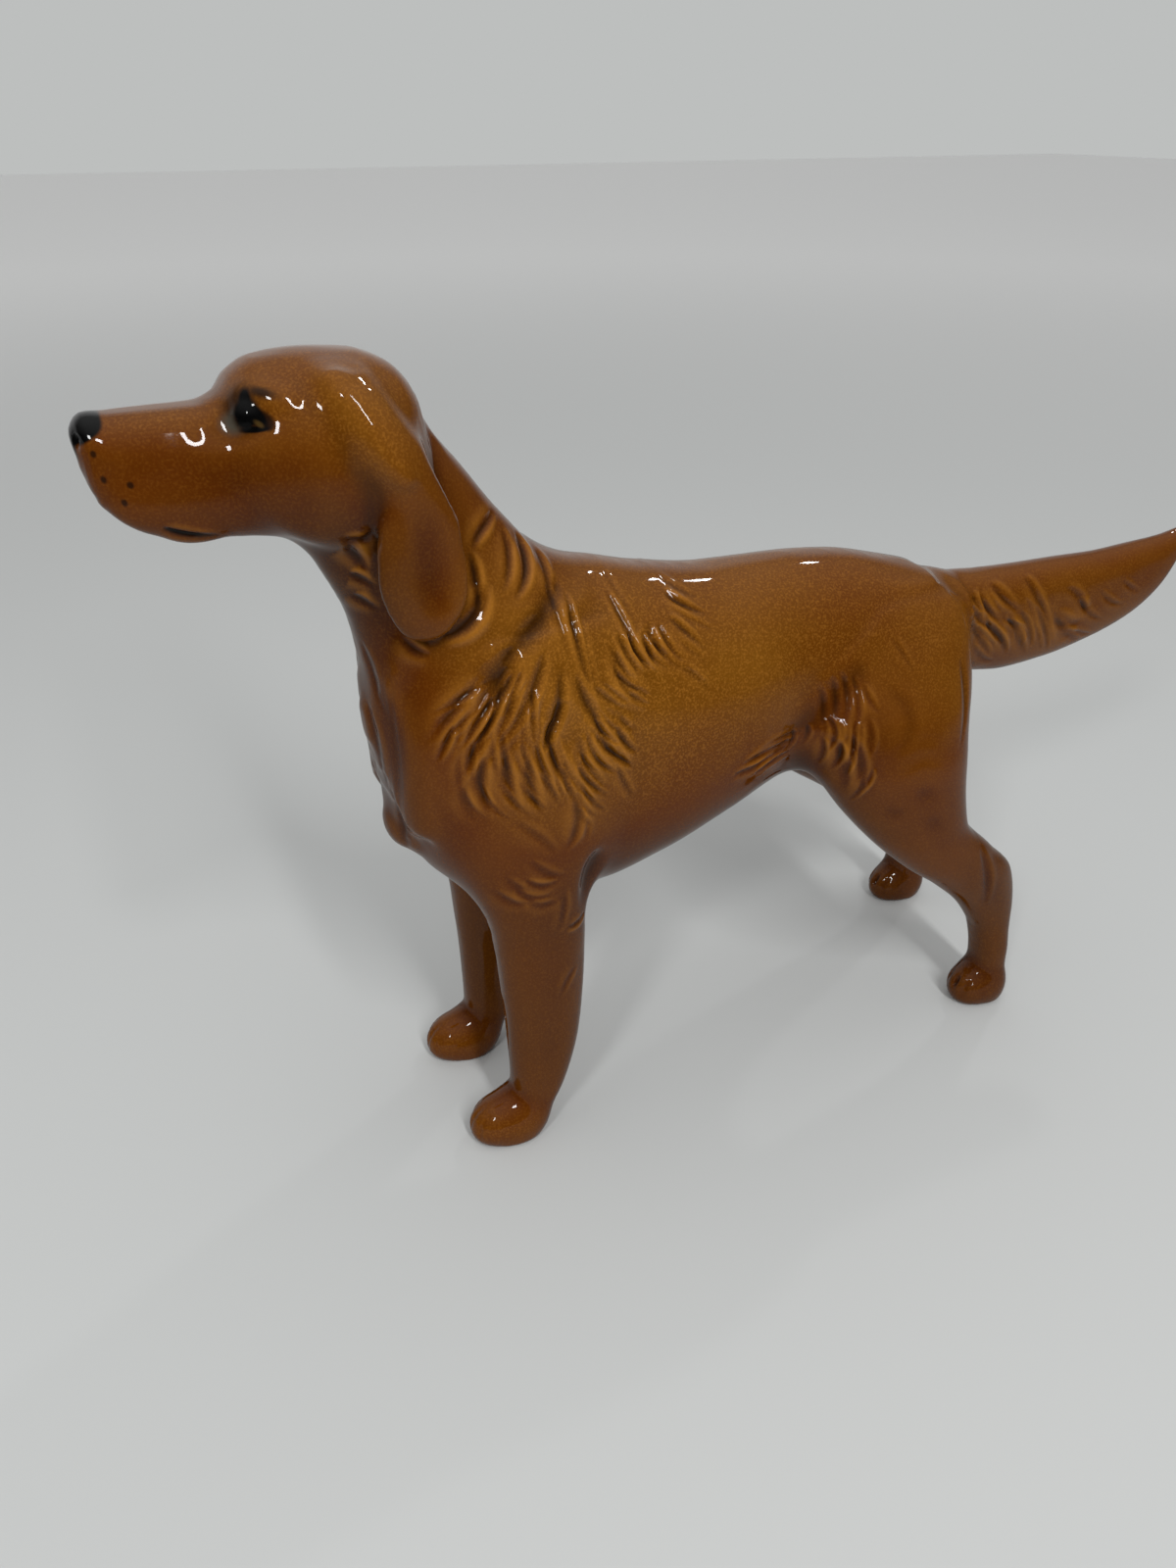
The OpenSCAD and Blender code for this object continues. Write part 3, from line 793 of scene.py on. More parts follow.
    locks: tuple[Row, ...] = (
        (8.5, 101.6, 5.2, 95, 0.5, 88.6, 1.9, 0.4), (10.7, 98.2, 9.3, 91.2, 6.3, 85.6, 1.9, 0.4),
        (7.8, 88.9, 9.1, 83, 13.4, 77.4, 1.9, 0.4), (13.1, 86.9, 14.2, 80.9, 18.2, 76, 1.9, 0.4),
        (15.7, 90.2, 18.1, 84.1, 22.9, 79, 1.9, 0.4), (20.6, 99.9, 22.4, 94.4, 26.6, 90.3, 1.9, 0.4),
        (28.6, 101.4, 29, 97.7, 33.5, 93.7, 1.9, 0.4), (-2.4, 86.2, -3.7, 81.5, -2.3, 75.6, 1.9, 0.4),
        (1.3, 88, 0.5, 82.4, 2.2, 76.1, 1.9, 0.4), (4, 84.7, 4.2, 79.7, 6.1, 74.4, 1.9, 0.4),
        (-2.2, 98.7, -7.1, 93.8, -10.5, 89.3, 1.9, 0.4), (13.4, 97, 14.9, 91.7, 18.4, 86.5, 1.9, 0.4),
        (11.4, 76.2, 12, 71, 10.1, 66.8, 1.9, 0.4), (-0.7, 92, -4.4, 86.9, -6.6, 81.6, 1.9, 0.4),
        (64.2, 74.9, 66, 69.6, 66.6, 63.7, 1.8, 0.26), (67.3, 75.1, 68.8, 69.9, 69.5, 64, 1.8, 0.26),
        (64.5, 85.9, 65.3, 82, 64.2, 78, 1.4, 0.2), (66.6, 86.3, 67.4, 82.1, 66.1, 77.7, 1.4, 0.2),
        (68.6, 85.4, 69.1, 81.3, 68, 76.8, 1.4, 0.2), (70.4, 83.9, 71.2, 81.2, 72.7, 79, 1.4, 0.2),
        (62, 84.5, 62.9, 81.1, 62.3, 77.2, 1.4, 0.2), (70.3, 78.1, 70.6, 75, 70.1, 71.4, 1.4, 0.2),
        (-0.7, 63.2, 2.3, 60.2, 6, 59.2, 1.6, 0.2), (-2.3, 60.3, 0.4, 57.8, 3.3, 57.3, 1.6, 0.2),
        (-7.1, 81.8, -5.9, 76.8, -4, 74.5, 1.6, 0.2), (1.1, 74.1, 5.5, 70, 8.3, 66.2, 1.6, 0.2),
        (11, 75.5, 13.5, 71.3, 13.8, 67.2, 1.6, 0.2), (3.4, 66.1, 6.8, 62.6, 10.1, 61.4, 1.6, 0.2))
    breast: tuple[Row, ...] = (
        (5.4, 98, 8.8, 88, 8.6, 76, 4.4, 0.32), (2.5, 92, 3.8, 84, 3, 76, 2.6, 0.4),
        (5.4, 77, 6, 70, 4.2, 64, 2.6, 0.4), (3.2, 103, 4.6, 98, 6.8, 92, 2.4, 0.35))

    def model(self, clay: Clay) -> None:
        """Press the trunk on."""
        clay.press(Loft([row + (0.46, 2.2) for row in self.trunk]), 1)

    def finish_form(self, clay: Clay) -> None:
        """Press on the points of the shoulders and the brisket, and sink elbows and vent.

        Args:
            clay: the clay, with all castings but the ears on it.
        """
        for out in (-1, 1):
            shoulder_point = Lump((-9.2, 11.0 * out, 83), (3.0, 3.0, 11), -10)
            behind_elbow = Lump((16.8, 19.4 * out, 56.5), (3.6, 3.8, 7.5))
            behind_forearm = Lump((15.6, 19.6 * out, 37), (2.8, 2.8, 10))
            elbow_notch = Lump((18.3, 12.5 * out, 48.5), (2.4, 7.0, 4.0))
            clay.press(shoulder_point, 6)
            for hollow in (behind_elbow, behind_forearm, elbow_notch):
                clay.scoop(hollow, 1.2)
        brisket = Lump((-11.2, 0, 67.5), (4.2, 6.0, 5.0))
        vent = Lump((self.vent[0], 0, self.vent[1]), (self.vent_d / 2, self.vent_d / 2, 5))
        clay.press(brisket, 3)
        clay.scoop(vent, 0.6)

    def strokes(self) -> list[Strokes]:
        """Strokes and locks of shoulder, flank and belly, broad hollows and breast folds."""
        return [Strokes(self.hair, press=0.72, glaze=0.62),
                Strokes(self.locks, echoes=False, press=0.8, glaze=0.55),
                Strokes(self.hollows, 0.25, echoes=False, glaze=0.5),
                Strokes(self.breast, 0.5, echoes=False, view=View.FRONT, glaze=0.5)]

    def keep(self, skin: Skin) -> Array:
        """What no other casting has taken."""
        return np.ones(len(skin.points))

    def cut(self, skin: Skin) -> Skin:
        """Keep all that is left."""
        self.skin = skin
        return skin


@dataclass
class Head(Casting):
    """Neck and head, joined to the trunk by the slip joint at the foot of the neck.

    Attributes:
        skull: stations of the head from nose to occiput, as a loft's.
        neck: stations of the neck along its own leaning path.
        neck_foot: x and z where that path starts.
        neck_lean: its lean in degrees.
        joint_point: x and z of a point of the slip joint's plane.
        joint_tilt: rise of that plane towards the tail, in degrees.
        eye: x, distance from the middle line and z of the eyeball.
        eye_r: radius of the eyeball.
        hair: waves behind the ear and curls under its front.
        lip: the line of the lips.
    """

    skull: tuple[Row, ...] = (
        (-51.6, 132.6, 138.1, 0, 2, 0.55, 2.2), (-50.2, 128.2, 139.3, 0, 4.5, 0.55, 2.4),
        (-47, 125.7, 139.8, 0, 6.24, 0.5, 2.5), (-42, 123.1, 139.9, 0, 6.96, 0.45, 2.7),
        (-36, 122, 140, 0, 7.7, 0.42, 2.7), (-33, 121.55, 141, 0, 8.5, 0.44, 2.5),
        (-30.7, 121.25, 143.6, 0, 9.75, 0.48, 2.3), (-27.2, 120.65, 145.4, 0, 11.25, 0.5, 2.2),
        (-21, 119.3, 146, 0, 12.5, 0.52, 2.2), (-14, 119, 145.5, 0, 12.5, 0.55, 2.2),
        (-9.2, 120.35, 143.8, 0, 11, 0.55, 2.2), (-5.9, 124.9, 140.3, 0, 7.5, 0.52, 2.2),
        (-4.4, 130.3, 135.7, 0, 2.5, 0.52, 2.2))
    neck: tuple[Row, ...] = (
        (0, -19.8, 19.8, 0, 14.5), (12.8, -16.2, 18, 0, 13.9), (25.1, -12.7, 15.4, 0, 11),
        (37.4, -12, 13.2, 0, 10.1), (44, -9.1, 9.1, 0, 9))
    neck_foot: tuple[float, float] = (4.125, 92.16)
    neck_lean: float = 27.7
    joint_point: tuple[float, float] = (-3.04, 105.81)
    joint_tilt: float = 28.0
    eye: tuple[float, float, float] = (-29.2, 6.4, 138.7)
    eye_r: float = 2.8
    hair: tuple[Row, ...] = (
        (5, 121.2, 1.3, 119.6, -0.6, 117.5, 1.6, 0.45), (8.3, 117.2, 8.3, 113.3, 5, 109.6, 1.9, 0.6),
        (5.6, 118.7, 5.3, 114.7, 3.1, 110.9, 1.6, 0.35), (-1.2, 117, -0.8, 113.2, -1.2, 109, 1.6, 0.5),
        (11.5, 114.2, 11.9, 111.5, 11.2, 108.4, 1.6, 0.35),
        (0.4, 112.4, -2.4, 107.6, -7.1, 105.4, 2.4, 0.6),
        (-19.3, 120.5, -18.1, 119, -16.5, 115.9, 1.76, 0.5),
        (-18.6, 115.2, -17.4, 114.7, -15.3, 113.2, 1.51, 0.45),
        (-18.2, 111.7, -17, 110.8, -15, 109.4, 1.51, 0.4),
        (-20.1, 122.1, -17.1, 121.3, -15.9, 123.2, 1.76, 0.4),
        (-12.4, 105.4, -10.8, 103.4, -8.9, 102.7, 1.64, 0.4))
    lip: tuple[Row, ...] = (
        (-43, 125.5, -40.2, 124.2, -35.6, 123.4, 1.2, 0.4),)

    def model(self, clay: Clay) -> None:
        """Press on the neck, then the head with its cheeks, lips, brows, eyes and nose.

        Args:
            clay: the clay, with the trunk on it.
        """
        clay.press(Loft(self.neck, Run.UP, self.neck_foot, self.neck_lean), 6)
        clay.press(Loft(self.skull), 4)
        nose = Lump((-49.5, 0, 137.0), (2.2, 3.9, 2.7))
        clay.press(nose, 1.4)
        x, y, z = self.eye
        for out in (-1, 1):
            cheek = Lump((-20, 8.6 * out, 130), (9, 4.2, 8.5))
            flew = Lump((-40.5, 4.0 * out, 128.2), (7.5, 3.2, 4.2))
            brow = Lump((-26.9, 7.2 * out, 141.0), (3.8, 2.0, 1.7), -8, 35 * out)
            mouth_corner = Lump((-38.4, 4.4 * out, 124.4), (3.6, 2.2, 1.9))
            eye_hollow = Lump((-33, 9.2 * out, 139.2), (4.2, 2.0, 2.6), 10, 25 * out)
            eyeball = Lump((x, y * out, z), (self.eye_r,) * 3)
            nostril = Lump((-51.2, 2.5 * out, 136.8), (0.8, 0.5, 0.4), 30)
            for mass, blend in ((cheek, 4), (flew, 3), (brow, 2), (mouth_corner, 2)):
                clay.press(mass, blend)
            clay.scoop(eye_hollow, 2.5)
            clay.press(eyeball, 0.7)
            clay.scoop(nostril, 0.9)

    def strokes(self) -> list[Strokes]:
        """Waves behind the ear, curls under its front, and the line of the lips."""
        return [Strokes(self.hair, echoes=False), Strokes(self.lip, 0.3, 0.02, False, press=1)]

    def keep(self, skin: Skin) -> Array:
        """Height over the tilted plane of the neck joint."""
        tilt = np.radians(self.joint_tilt)
        return ((skin.points[:, 2] - self.joint_point[1]) * np.cos(tilt)
                - (skin.points[:, 0] - self.joint_point[0]) * np.sin(tilt))


@dataclass
class Ear(Casting):
    """A long ear flap, rooted high on the skull and free along its lower edge.

    Attributes:
        side: left or right.
        flap: height, middle x, depth, distance from the middle line and half thickness.
        root: heights between which the fillet to the head widens.
        fillet: width of the fillet below and above them.
        rest: clay of the dog without its ears.
        flaps: clay of the two ears.
    """

    side: Side = Side.LEFT
    flap: tuple[Row, ...] = (
        (143, -16.9, 4.2, 9, 1.5), (139.8, -15, 4.8, 10.6, 2.5), (137, -13.2, 5.4, 11.6, 2.8),
        (134.1, -11.6, 6.5, 12.2, 2.9), (131.7, -10.8, 7.2, 12.5, 2.9), (129, -10.1, 8.2, 12.8, 2.8),
        (126.1, -9.6, 9.7, 13.1, 2.7), (123.3, -9.4, 11.6, 13.3, 2.6), (119.5, -9.5, 12.8, 13.5, 2.6),
        (115.5, -9.4, 13.5, 13.6, 2.6), (112.4, -9.2, 12.9, 13.7, 2.5), (109.8, -9.2, 11, 13.7, 2.4),
        (107.6, -9.4, 8.2, 13.5, 2.1), (106.2, -9.5, 4.8, 13.4, 1.6), (105.6, -9.5, 1.6, 13.3, 0.7))
    root: tuple[float, float] = (119.0, 134.0)
    fillet: tuple[float, float] = (1.0, 3.6)
    rest: Clay | None = None
    flaps: Clay | None = None

    def shape(self, clay: Clay) -> None:
        """Press the flap on clay of its own, with its front fold and the dish of its lobe.

        Args:
            clay: the ears' own clay.
        """
        out = self.side.value
        front_fold = Lump((-15.2, 13.2 * out, 136.8), (8.4, 2.0, 2.0), -61, 22 * out)
        lobe_dish = Lump((-6.6, 17.2 * out, 117), (4.6, 2.2, 9.0), 8)
        clay.press(upright(self.flap, out), 1)
        clay.press(front_fold, 3.5)
        clay.scoop(lobe_dish, 2)

    def keep(self, skin: Skin) -> Array:
        """How much nearer the flap is than the rest, on the ear's own side."""
        near = self.rest.read(skin.points) - self.flaps.read(skin.points)
        return np.where(skin.points[:, 1] * self.side.value > 0, near, -1.0)


def upright(rows: Sequence[Row], out: int, shift: float = 0.0) -> Loft:
    """Loft a limb upward.

    Args:
        rows: height, middle x, depth, distance from the middle line and half width.
        out: -1 on the left and 1 on the right.
        shift: how far back the limb stands.

    Returns:
        The loft.
    """
    return Loft([(z, x + shift - d / 2, x + shift + d / 2, y * out, half)
                 for z, x, d, y, half in rows], Run.UP)


def paw(clay: Clay, centre: tuple[float, float], size: tuple[float, float, float]) -> None:
    """Press on a paw: a low egg, a heel behind it, and shallow creases between four toes.

    Args:
        clay: the clay.
        centre: x and y of its middle.
        size: length, width and height.
    """
    x, y = centre
    l, w, h = size
    clay.press(Lump((x - 0.07 * l, y, 0.37 * h), (0.44 * l, 0.47 * w, 0.56 * h), 6), 3)
    clay.press(Lump((x + 0.2 * l, y, 0.42 * h), (0.3 * l, 0.41 * w, 0.5 * h)), 3)
    for off in (-0.24, 0, 0.24):
        clay.scoop(Lump((x - 0.5 * l, y + off * w, 0.62 * h), (0.13 * l, 0.01 * w, 0.18 * h),
                        -50, -40 * off), 0.6)


@dataclass
class Leg(Casting):
    """A leg with its paw, below the slip joint that sets it to the trunk.

    Attributes:
        side: left or right.
        limb: height, middle x, depth, distance from the middle line and half width.
        paw_at: x and y of the paw's middle.
        paw_size: length, width and height of the paw.
        joint: height of the slip joint.
        fillet: width of the melt into the trunk.
        split: x that parts the forequarters from the hindquarters.
    """

    side: Side = Side.LEFT
    limb: tuple[Row, ...] = ()
    paw_at: tuple[float, float] = (0.0, 0.0)
    paw_size: tuple[float, float, float] = (0.0, 0.0, 0.0)
    joint: float = 0.0
    fillet: float = 6.0
    split: float = 55.75

    def model(self, clay: Clay) -> None:
        """Press the limb into the trunk and the paw onto the limb.

        Args:
            clay: the clay, with the trunk on it.
        """
        out = self.side.value
        clay.press(upright(self.limb, out), self.fillet)
        paw(clay, (self.paw_at[0], self.paw_at[1] * out), self.paw_size)

    def fore(self) -> bool:
        """Whether the leg stands in front of the dog's middle."""
        return self.paw_at[0] < self.split

    def keep(self, skin: Skin) -> Array:
        """Depth below the slip joint, in the leg's own quarter.

        Args:
            skin: what is left of the whole skin.

        Returns:
            A level for each point, above zero on the leg.
        """
        x, y, z = skin.points.T
        mine = ((x < self.split) == self.fore()) & (y * self.side.value > 0)
        return np.where(mine, self.joint - z, -1.0)


@dataclass
class Foreleg(Leg):
    """A straight foreleg, feathered down its back.

    Attributes:
        feather: strokes of the feather and the elbow, the same on both forelegs.
    """

    limb: tuple[Row, ...] = (
        (0, 1.2, 8.25, 13, 4.6), (12, 6.45, 10.8, 13, 4.95), (23, 7.8, 14.1, 12.74, 5.3),
        (35, 7.95, 15.9, 12.5, 5.9), (46, 7.65, 17.25, 12.2, 6.7), (57.2, 6.75, 20.55, 11.7, 7.8),
        (69.8, 7.5, 26.25, 10.4, 8.4), (84.3, 8.55, 29.25, 9.4, 7.8), (98.1, 10, 19.95, 8.3, 5.4),
        (104.1, 10.5, 9, 7.8, 2.6))
    paw_at: tuple[float, float] = (0.0, 13.0)
    paw_size: tuple[float, float, float] = (15.4, 11.2, 9.6)
    joint: float = 46.0
    feather: tuple[Row, ...] = (
        (9.5, 58.5, 9.6, 54, 8.4, 49, 1.4, 0.18), (14.6, 50.6, 12.2, 49.6, 9.4, 50.2, 1.2, 0.35),
        (12.6, 40, 10.6, 37.5, 9.2, 34, 1.3, 0.2), (2.6, 62.5, 5.2, 60.5, 9, 60.8, 1.4, 0.3),
        (1.2, 60.4, 3.6, 58.4, 7.6, 58.2, 1.4, 0.25), (3.2, 57.8, 5.6, 56.4, 9.4, 57, 1.4, 0.2))

    def strokes(self) -> list[Strokes]:
        """The feather's edge and the elbow's creases, which the left leg draws on both."""
        return [Strokes(self.feather, echoes=False)] if self.side is Side.LEFT else []


@dataclass
class HindLeg(Leg):
    """A hind leg with its broad thigh and standing hock.

    Attributes:
        sinew: strokes in front of the sinew over the hock, the same on both hind legs.
    """

    limb: tuple[Row, ...] = (
        (0, 112.6, 6.4, 20, 3.8), (8, 112.4, 7.2, 20, 4.2), (13, 112, 7.6, 20, 4.3),
        (20.2, 110.8, 9, 19.6, 4.4), (24, 109.65, 11.3, 19.5, 4.5), (28.1, 107.85, 14.1, 19.4, 4.7),
        (34.9, 103.2, 19.6, 19, 5.5), (41, 96.25, 21.7, 18.4, 6.3), (50, 87.5, 23.2, 17.2, 7.6),
        (59.9, 82.9, 30.2, 15.6, 9), (66.9, 80.9, 34.4, 14, 10.1), (75.3, 80.2, 36.6, 12.2, 10),
        (84, 82.25, 30.5, 9.4, 8.2), (91, 85.6, 20, 6.6, 4.6), (95.5, 86.4, 8, 5.2, 1.8))
    paw_at: tuple[float, float] = (110.3, 20.0)
    paw_size: tuple[float, float, float] = (12.6, 10.6, 9.2)
    joint: float = 54.0
    sinew: tuple[Row, ...] = (
        (100.4, 43.4, 102.8, 36.5, 104.4, 28.5, 2.4, 0.45), (98.6, 52, 99.6, 48.4, 101.6, 45.4, 2.2, 0.2))

    def strokes(self) -> list[Strokes]:
        """The groove in front of the sinew, which the left leg draws on both."""
        left = self.side is Side.LEFT
        return [Strokes(self.sinew, 0.6, echoes=False, glaze=0.3)] if left else []


@dataclass
class SetBackHindLeg(HindLeg):
    """The hind leg that stands further back than its fellow."""

    limb: tuple[Row, ...] = (
        (0, 120.8, 6.4, 20, 3.8), (8, 120.6, 7.2, 20, 4.2), (13, 120.2, 7.6, 20, 4.3),
        (20.2, 118.6, 8.4, 19.6, 4.4), (24, 116.4, 10.4, 19.5, 4.5), (28.1, 112.7, 12.6, 19.4, 4.7),
        (34.9, 106.2, 17.6, 19, 5.5), (41, 99, 20.35, 18.4, 6.3), (50, 89.2, 25.3, 17.2, 7.6),
        (59.9, 83, 32.4, 15.6, 9), (66.9, 81.3, 34.9, 14, 10.1), (75.3, 80.4, 37.3, 12.2, 10),
        (84, 83.1, 31.4, 9.4, 8.2), (91, 86.4, 20, 6.6, 4.6), (95.5, 87.2, 8, 5.2, 1.8))
    paw_at: tuple[float, float] = (119.4, 20.0)
    paw_size: tuple[float, float, float] = (14.0, 10.6, 9.2)


@dataclass
class Tail(Casting):
    """The plumed tail, set on behind the rump.

    Attributes:
        plume: stations of the tail, as a loft's.
        joint: x of its slip joint.
        joint_foot: height above which that joint cuts, over the hocks.
        hair: fine strokes of the plume.
        locks: longer locks that run between them.
    """

    plume: tuple[Row, ...] = (
        (90, 80.1, 92.5, 0, 4.2), (101.4, 74.8, 94.9, 0, 6.2), (110.2, 72.4, 94.2, 0, 6),
        (120.3, 71, 93.8, 0, 5.5), (131, 71.5, 93.6, 0, 5), (141.7, 73.2, 93.3, 0, 4.5),
        (153, 76.3, 93.8, 0, 3.75), (161.2, 81.3, 94.3, 0, 3), (165.9, 88.3, 95.2, 0, 2),
        (167.5, 92.6, 95.5, 0, 0.75))
    joint: float = 102.417
    joint_foot: float = 61.0
    hair: tuple[Row, ...] = (
        (102, 90.4, 105.7, 87.1, 108.8, 82.9, 1.17, 0.4), (106, 91.8, 107.9, 88.3, 112.2, 84.7, 1.17, 0.4),
        (110.5, 91.1, 113.3, 88.5, 116.6, 86.2, 1.06, 0.32),
        (104.8, 85.5, 108.9, 82.3, 114.5, 77.2, 1.17, 0.4),
        (108.2, 85.5, 112.9, 81.5, 117.1, 76.7, 1.17, 0.4),
        (112.9, 85.2, 118.3, 81.7, 120.6, 77.3, 1.17, 0.4), (117.4, 86, 121.6, 81, 123.7, 75.9, 1.17, 0.4),
        (121.3, 86.5, 125.6, 80.9, 129.9, 74, 1.27, 0.4), (128.1, 83.5, 132.4, 80.2, 136.6, 80, 2.66, 0.4),
        (135, 85.3, 138.5, 81.6, 144.1, 78.7, 1.27, 0.36),
        (140.6, 86.1, 144.9, 82.9, 150, 81.2, 1.17, 0.32),
        (133, 78.7, 138.1, 76.9, 143.1, 75.2, 1.06, 0.28),
        (147.1, 87.4, 150.3, 85.1, 154.6, 83.3, 1.06, 0.28),
        (105.9, 81, 110.4, 76.7, 114.2, 75.1, 1.33, 0.32))
    locks: tuple[Row, ...] = (
        (103.9, 91.5, 105.1, 89.8, 106.9, 86.2, 1.8, 0.28),
        (106.6, 92.2, 107.9, 89, 111.3, 85.8, 1.8, 0.28), (109.9, 92.3, 112.4, 90, 117.2, 85.9, 1.8, 0.28),
        (107.4, 85.7, 112.8, 81.3, 117, 76, 1.8, 0.28), (104.8, 84.9, 108, 81.5, 112.5, 76.5, 1.8, 0.28),
        (119, 92.1, 122.3, 87.5, 129.8, 76.2, 1.8, 0.28), (128, 82.5, 133.3, 78, 138.8, 75, 1.8, 0.28),
        (129.9, 88.6, 134.2, 86, 137.8, 81.5, 1.8, 0.2), (114.4, 85.7, 117.3, 81.4, 123.4, 74.5, 1.8, 0.28))

    def model(self, clay: Clay) -> None:
        """Press the plume on, widest near its top."""
        clay.press(Loft([row + (0.66, 2.2) for row in self.plume]), 5)

    def strokes(self) -> list[Strokes]:
        """Fine strokes and longer locks that hang from the tail."""
        return [Strokes(self.hair, press=0.7, glaze=0.5),
                Strokes(self.locks, echoes=False, press=0.9, glaze=0.6)]

    def keep(self, skin: Skin) -> Array:
        """How far behind the tail joint, above the hocks."""
        x, _, z = skin.points.T
        return np.where(z > self.joint_foot, x - self.joint, -1.0)


@dataclass
class Figurine:
    """All the castings as one dog.

    Attributes:
        step: lattice step.
        low: lowest corner of the lattice.
        high: highest corner.
        sole_edge: rounding of the soles' edges.
        face_end: how far back the head's front reaches, which has finer faces.
        paw_top: height up to which the paws have finer faces.
        fine: relief in millimetres that earns finer faces, once and again.
        ear_edge: distances from the ears between which strokes come to full height.
        inked: depth of the lip line that fills with black.
        surround: rounds of averaging that give a point's wider surroundings.
        hollow: how far below its surroundings a point gets the full darker colour, glaze pooling and
            painted shade in one, in millimetres.
        carved: depth of a stroke that fills with glaze, in millimetres.
        pooling: shares of the two in the darker colour; the first, from broad hollows, is partly painted
            shade.
        thinning: shares of their opposites on the crests.
        sprayed: patches sprayed lighter, or darker where the amount is below zero:
            x, z, reach along and up, and amount. They are partly painted light along the
            back, crown, muzzle ridge and ear top, and partly painted shade under the belly,
            throat, chest, jaw and ear.
    """

    step: float = 0.8
    low: tuple[float, float, float] = (-55.0, -28.0, -2.0)
    high: tuple[float, float, float] = (171.0, 28.0, 150.0)
    sole_edge: float = 0.7
    face_end: float = -24.0
    paw_top: float = 9.0
    fine: tuple[float, float] = (0.07, 0.31)
    ear_edge: tuple[float, float] = (0.3, 1.2)
    inked: float = 0.3
    surround: int = 30
    hollow: float = 0.5
    carved: float = 0.27
    pooling: tuple[float, float] = (0.65, 0.75)
    thinning: tuple[float, float] = (0.15, 0.75)
    # Lighter patches along the back, crown, muzzle ridge and ear top are partly painted light; darker ones
    # under the belly, throat, chest, jaw and ear are partly painted shade.
    sprayed: tuple[Row, ...] = (
        (14, 97, 18, 15, 0.75), (40, 92, 26, 13, 0.65), (68, 92, 22, 12, 0.25), (20, 80, 22, 12, 0.4),
        (-4, 114, 12, 14, 0.3), (6, 24, 18, 32, -0.5), (112, 12, 22, 32, -0.45), (-18, 78, 9, 26, -0.5),
        (-20, 112, 9, 13, -0.8), (46, 54, 40, 10, -0.6), (66, 70, 7, 10, -0.3), (-8, 116, 8, 12, -0.4),
        (-26, 128, 20, 9, -0.3), (108, 38, 14, 20, -0.3), (70, 78, 14, 12, -0.2), (-20, 143, 16, 7, 0.4),
        (-42, 140, 9, 3, 0.35), (-14, 134, 7, 8, 0.6), (-2, 5, 11, 6, 0.5), (92, 96, 20, 14, 0.3),
        (60, 104, 40, 5, 0.35), (90, 78, 12, 14, 0.2), (130, 86, 30, 12, 0.25))

    def __post_init__(self) -> None:
        """Name the castings and the solids that they stand for."""
        self.torso = Torso("torso", ("torso_casting",))
        self.head = Head("head", ("head_casting", "neck_slip_joint"))
        self.tail = Tail("plumed_tail", ("tail", "tail_slip_joint"))
        self.ears = [Ear(f"{s.word}_ear_flap", (f"{s.word}_ear",), s) for s in Side]
        self.legs = [self.leg(Foreleg, "foreleg", s) for s in Side]
        self.legs += [self.leg(HindLeg, "hind_leg", Side.LEFT),
                      self.leg(SetBackHindLeg, "hind_leg", Side.RIGHT)]

    def leg(self, kind: type[Leg], word: str, side: Side) -> Leg:
        """A leg and its paw, named for its side like the solids that it stands for."""
        name = f"{side.word}_{word}"
        return kind(f"{name}_and_paw", (name, f"{name}_slip_joint"), side)

    def castings(self) -> list[Casting]:
        """The castings in the order in which they are cut off the skin."""
        return [*self.ears, *self.legs, self.tail, self.head, self.torso]

    def model(self) -> Clay:
        """Melt all masses together.

        Returns:
            The finished clay. The ears keep their own lattice and the rest's, to find
            where they join.
        """
        rest = Clay(self.low, self.high, self.step)
        for casting in (self.torso, self.head, *self.legs, self.tail):
            casting.model(rest)
        self.torso.finish_form(rest)
        flaps = Clay(self.low, self.high, self.step)
        for ear in self.ears:
            ear.shape(flaps)
            ear.rest, ear.flaps = rest, flaps
        ear = self.ears[0]
        up = ease(rest.axes[2], *ear.root)
        fillet = ear.fillet[0] + (ear.fillet[1] - ear.fillet[0]) * up
        whole = Clay(self.low, self.high, self.step)
        whole.depth = melt(rest.depth, flaps.depth, fillet[None, None, :].astype(np.float32))
        whole.depth = pare(whole.depth, -rest.axes[2][None, None, :], self.sole_edge)
        return whole

    def skin(self, clay: Clay) -> Skin:
        """Read the skin off the clay, even it out, and draw the relief.

        The faces are made finer where the strokes give relief. Then each point moves along
        its normal by the height that the strokes give it.

        Args:
            clay: the finished clay.

        Returns:
            The skin of the whole dog.
        """
        points, faces = lattice_skin(clay)
        points = self.even(clay, points, faces)
        normals = face_normals(points, faces)
        tools = [t for casting in self.castings() for t in casting.strokes()]
        detail = (points[:, 0] < self.face_end) | (points[:, 2] < self.paw_top)
        for least, also in zip(self.fine, (detail, False)):
            relief = sum(np.abs(t.height(points, normals)) for t in tools)
            points, faces = finer(points, faces, (relief > least) | also)
            points = self.even(clay, points, faces)
            normals = face_normals(points, faces)
        clear = ease(self.ears[0].flaps.read(points), *self.ear_edge)
        heights = [t.height(points, normals) * clear for t in tools]
        points = points + normals * sum(heights)[:, None]
        normals = face_normals(points, faces)
        lips = sum(h for h, t in zip(heights, tools) if t.rows is self.head.lip)
        relief = sum(h * t.glaze for h, t in zip(heights, tools))
        return Skin(points, normals, self.paint(points, normals, faces, relief, lips), faces)

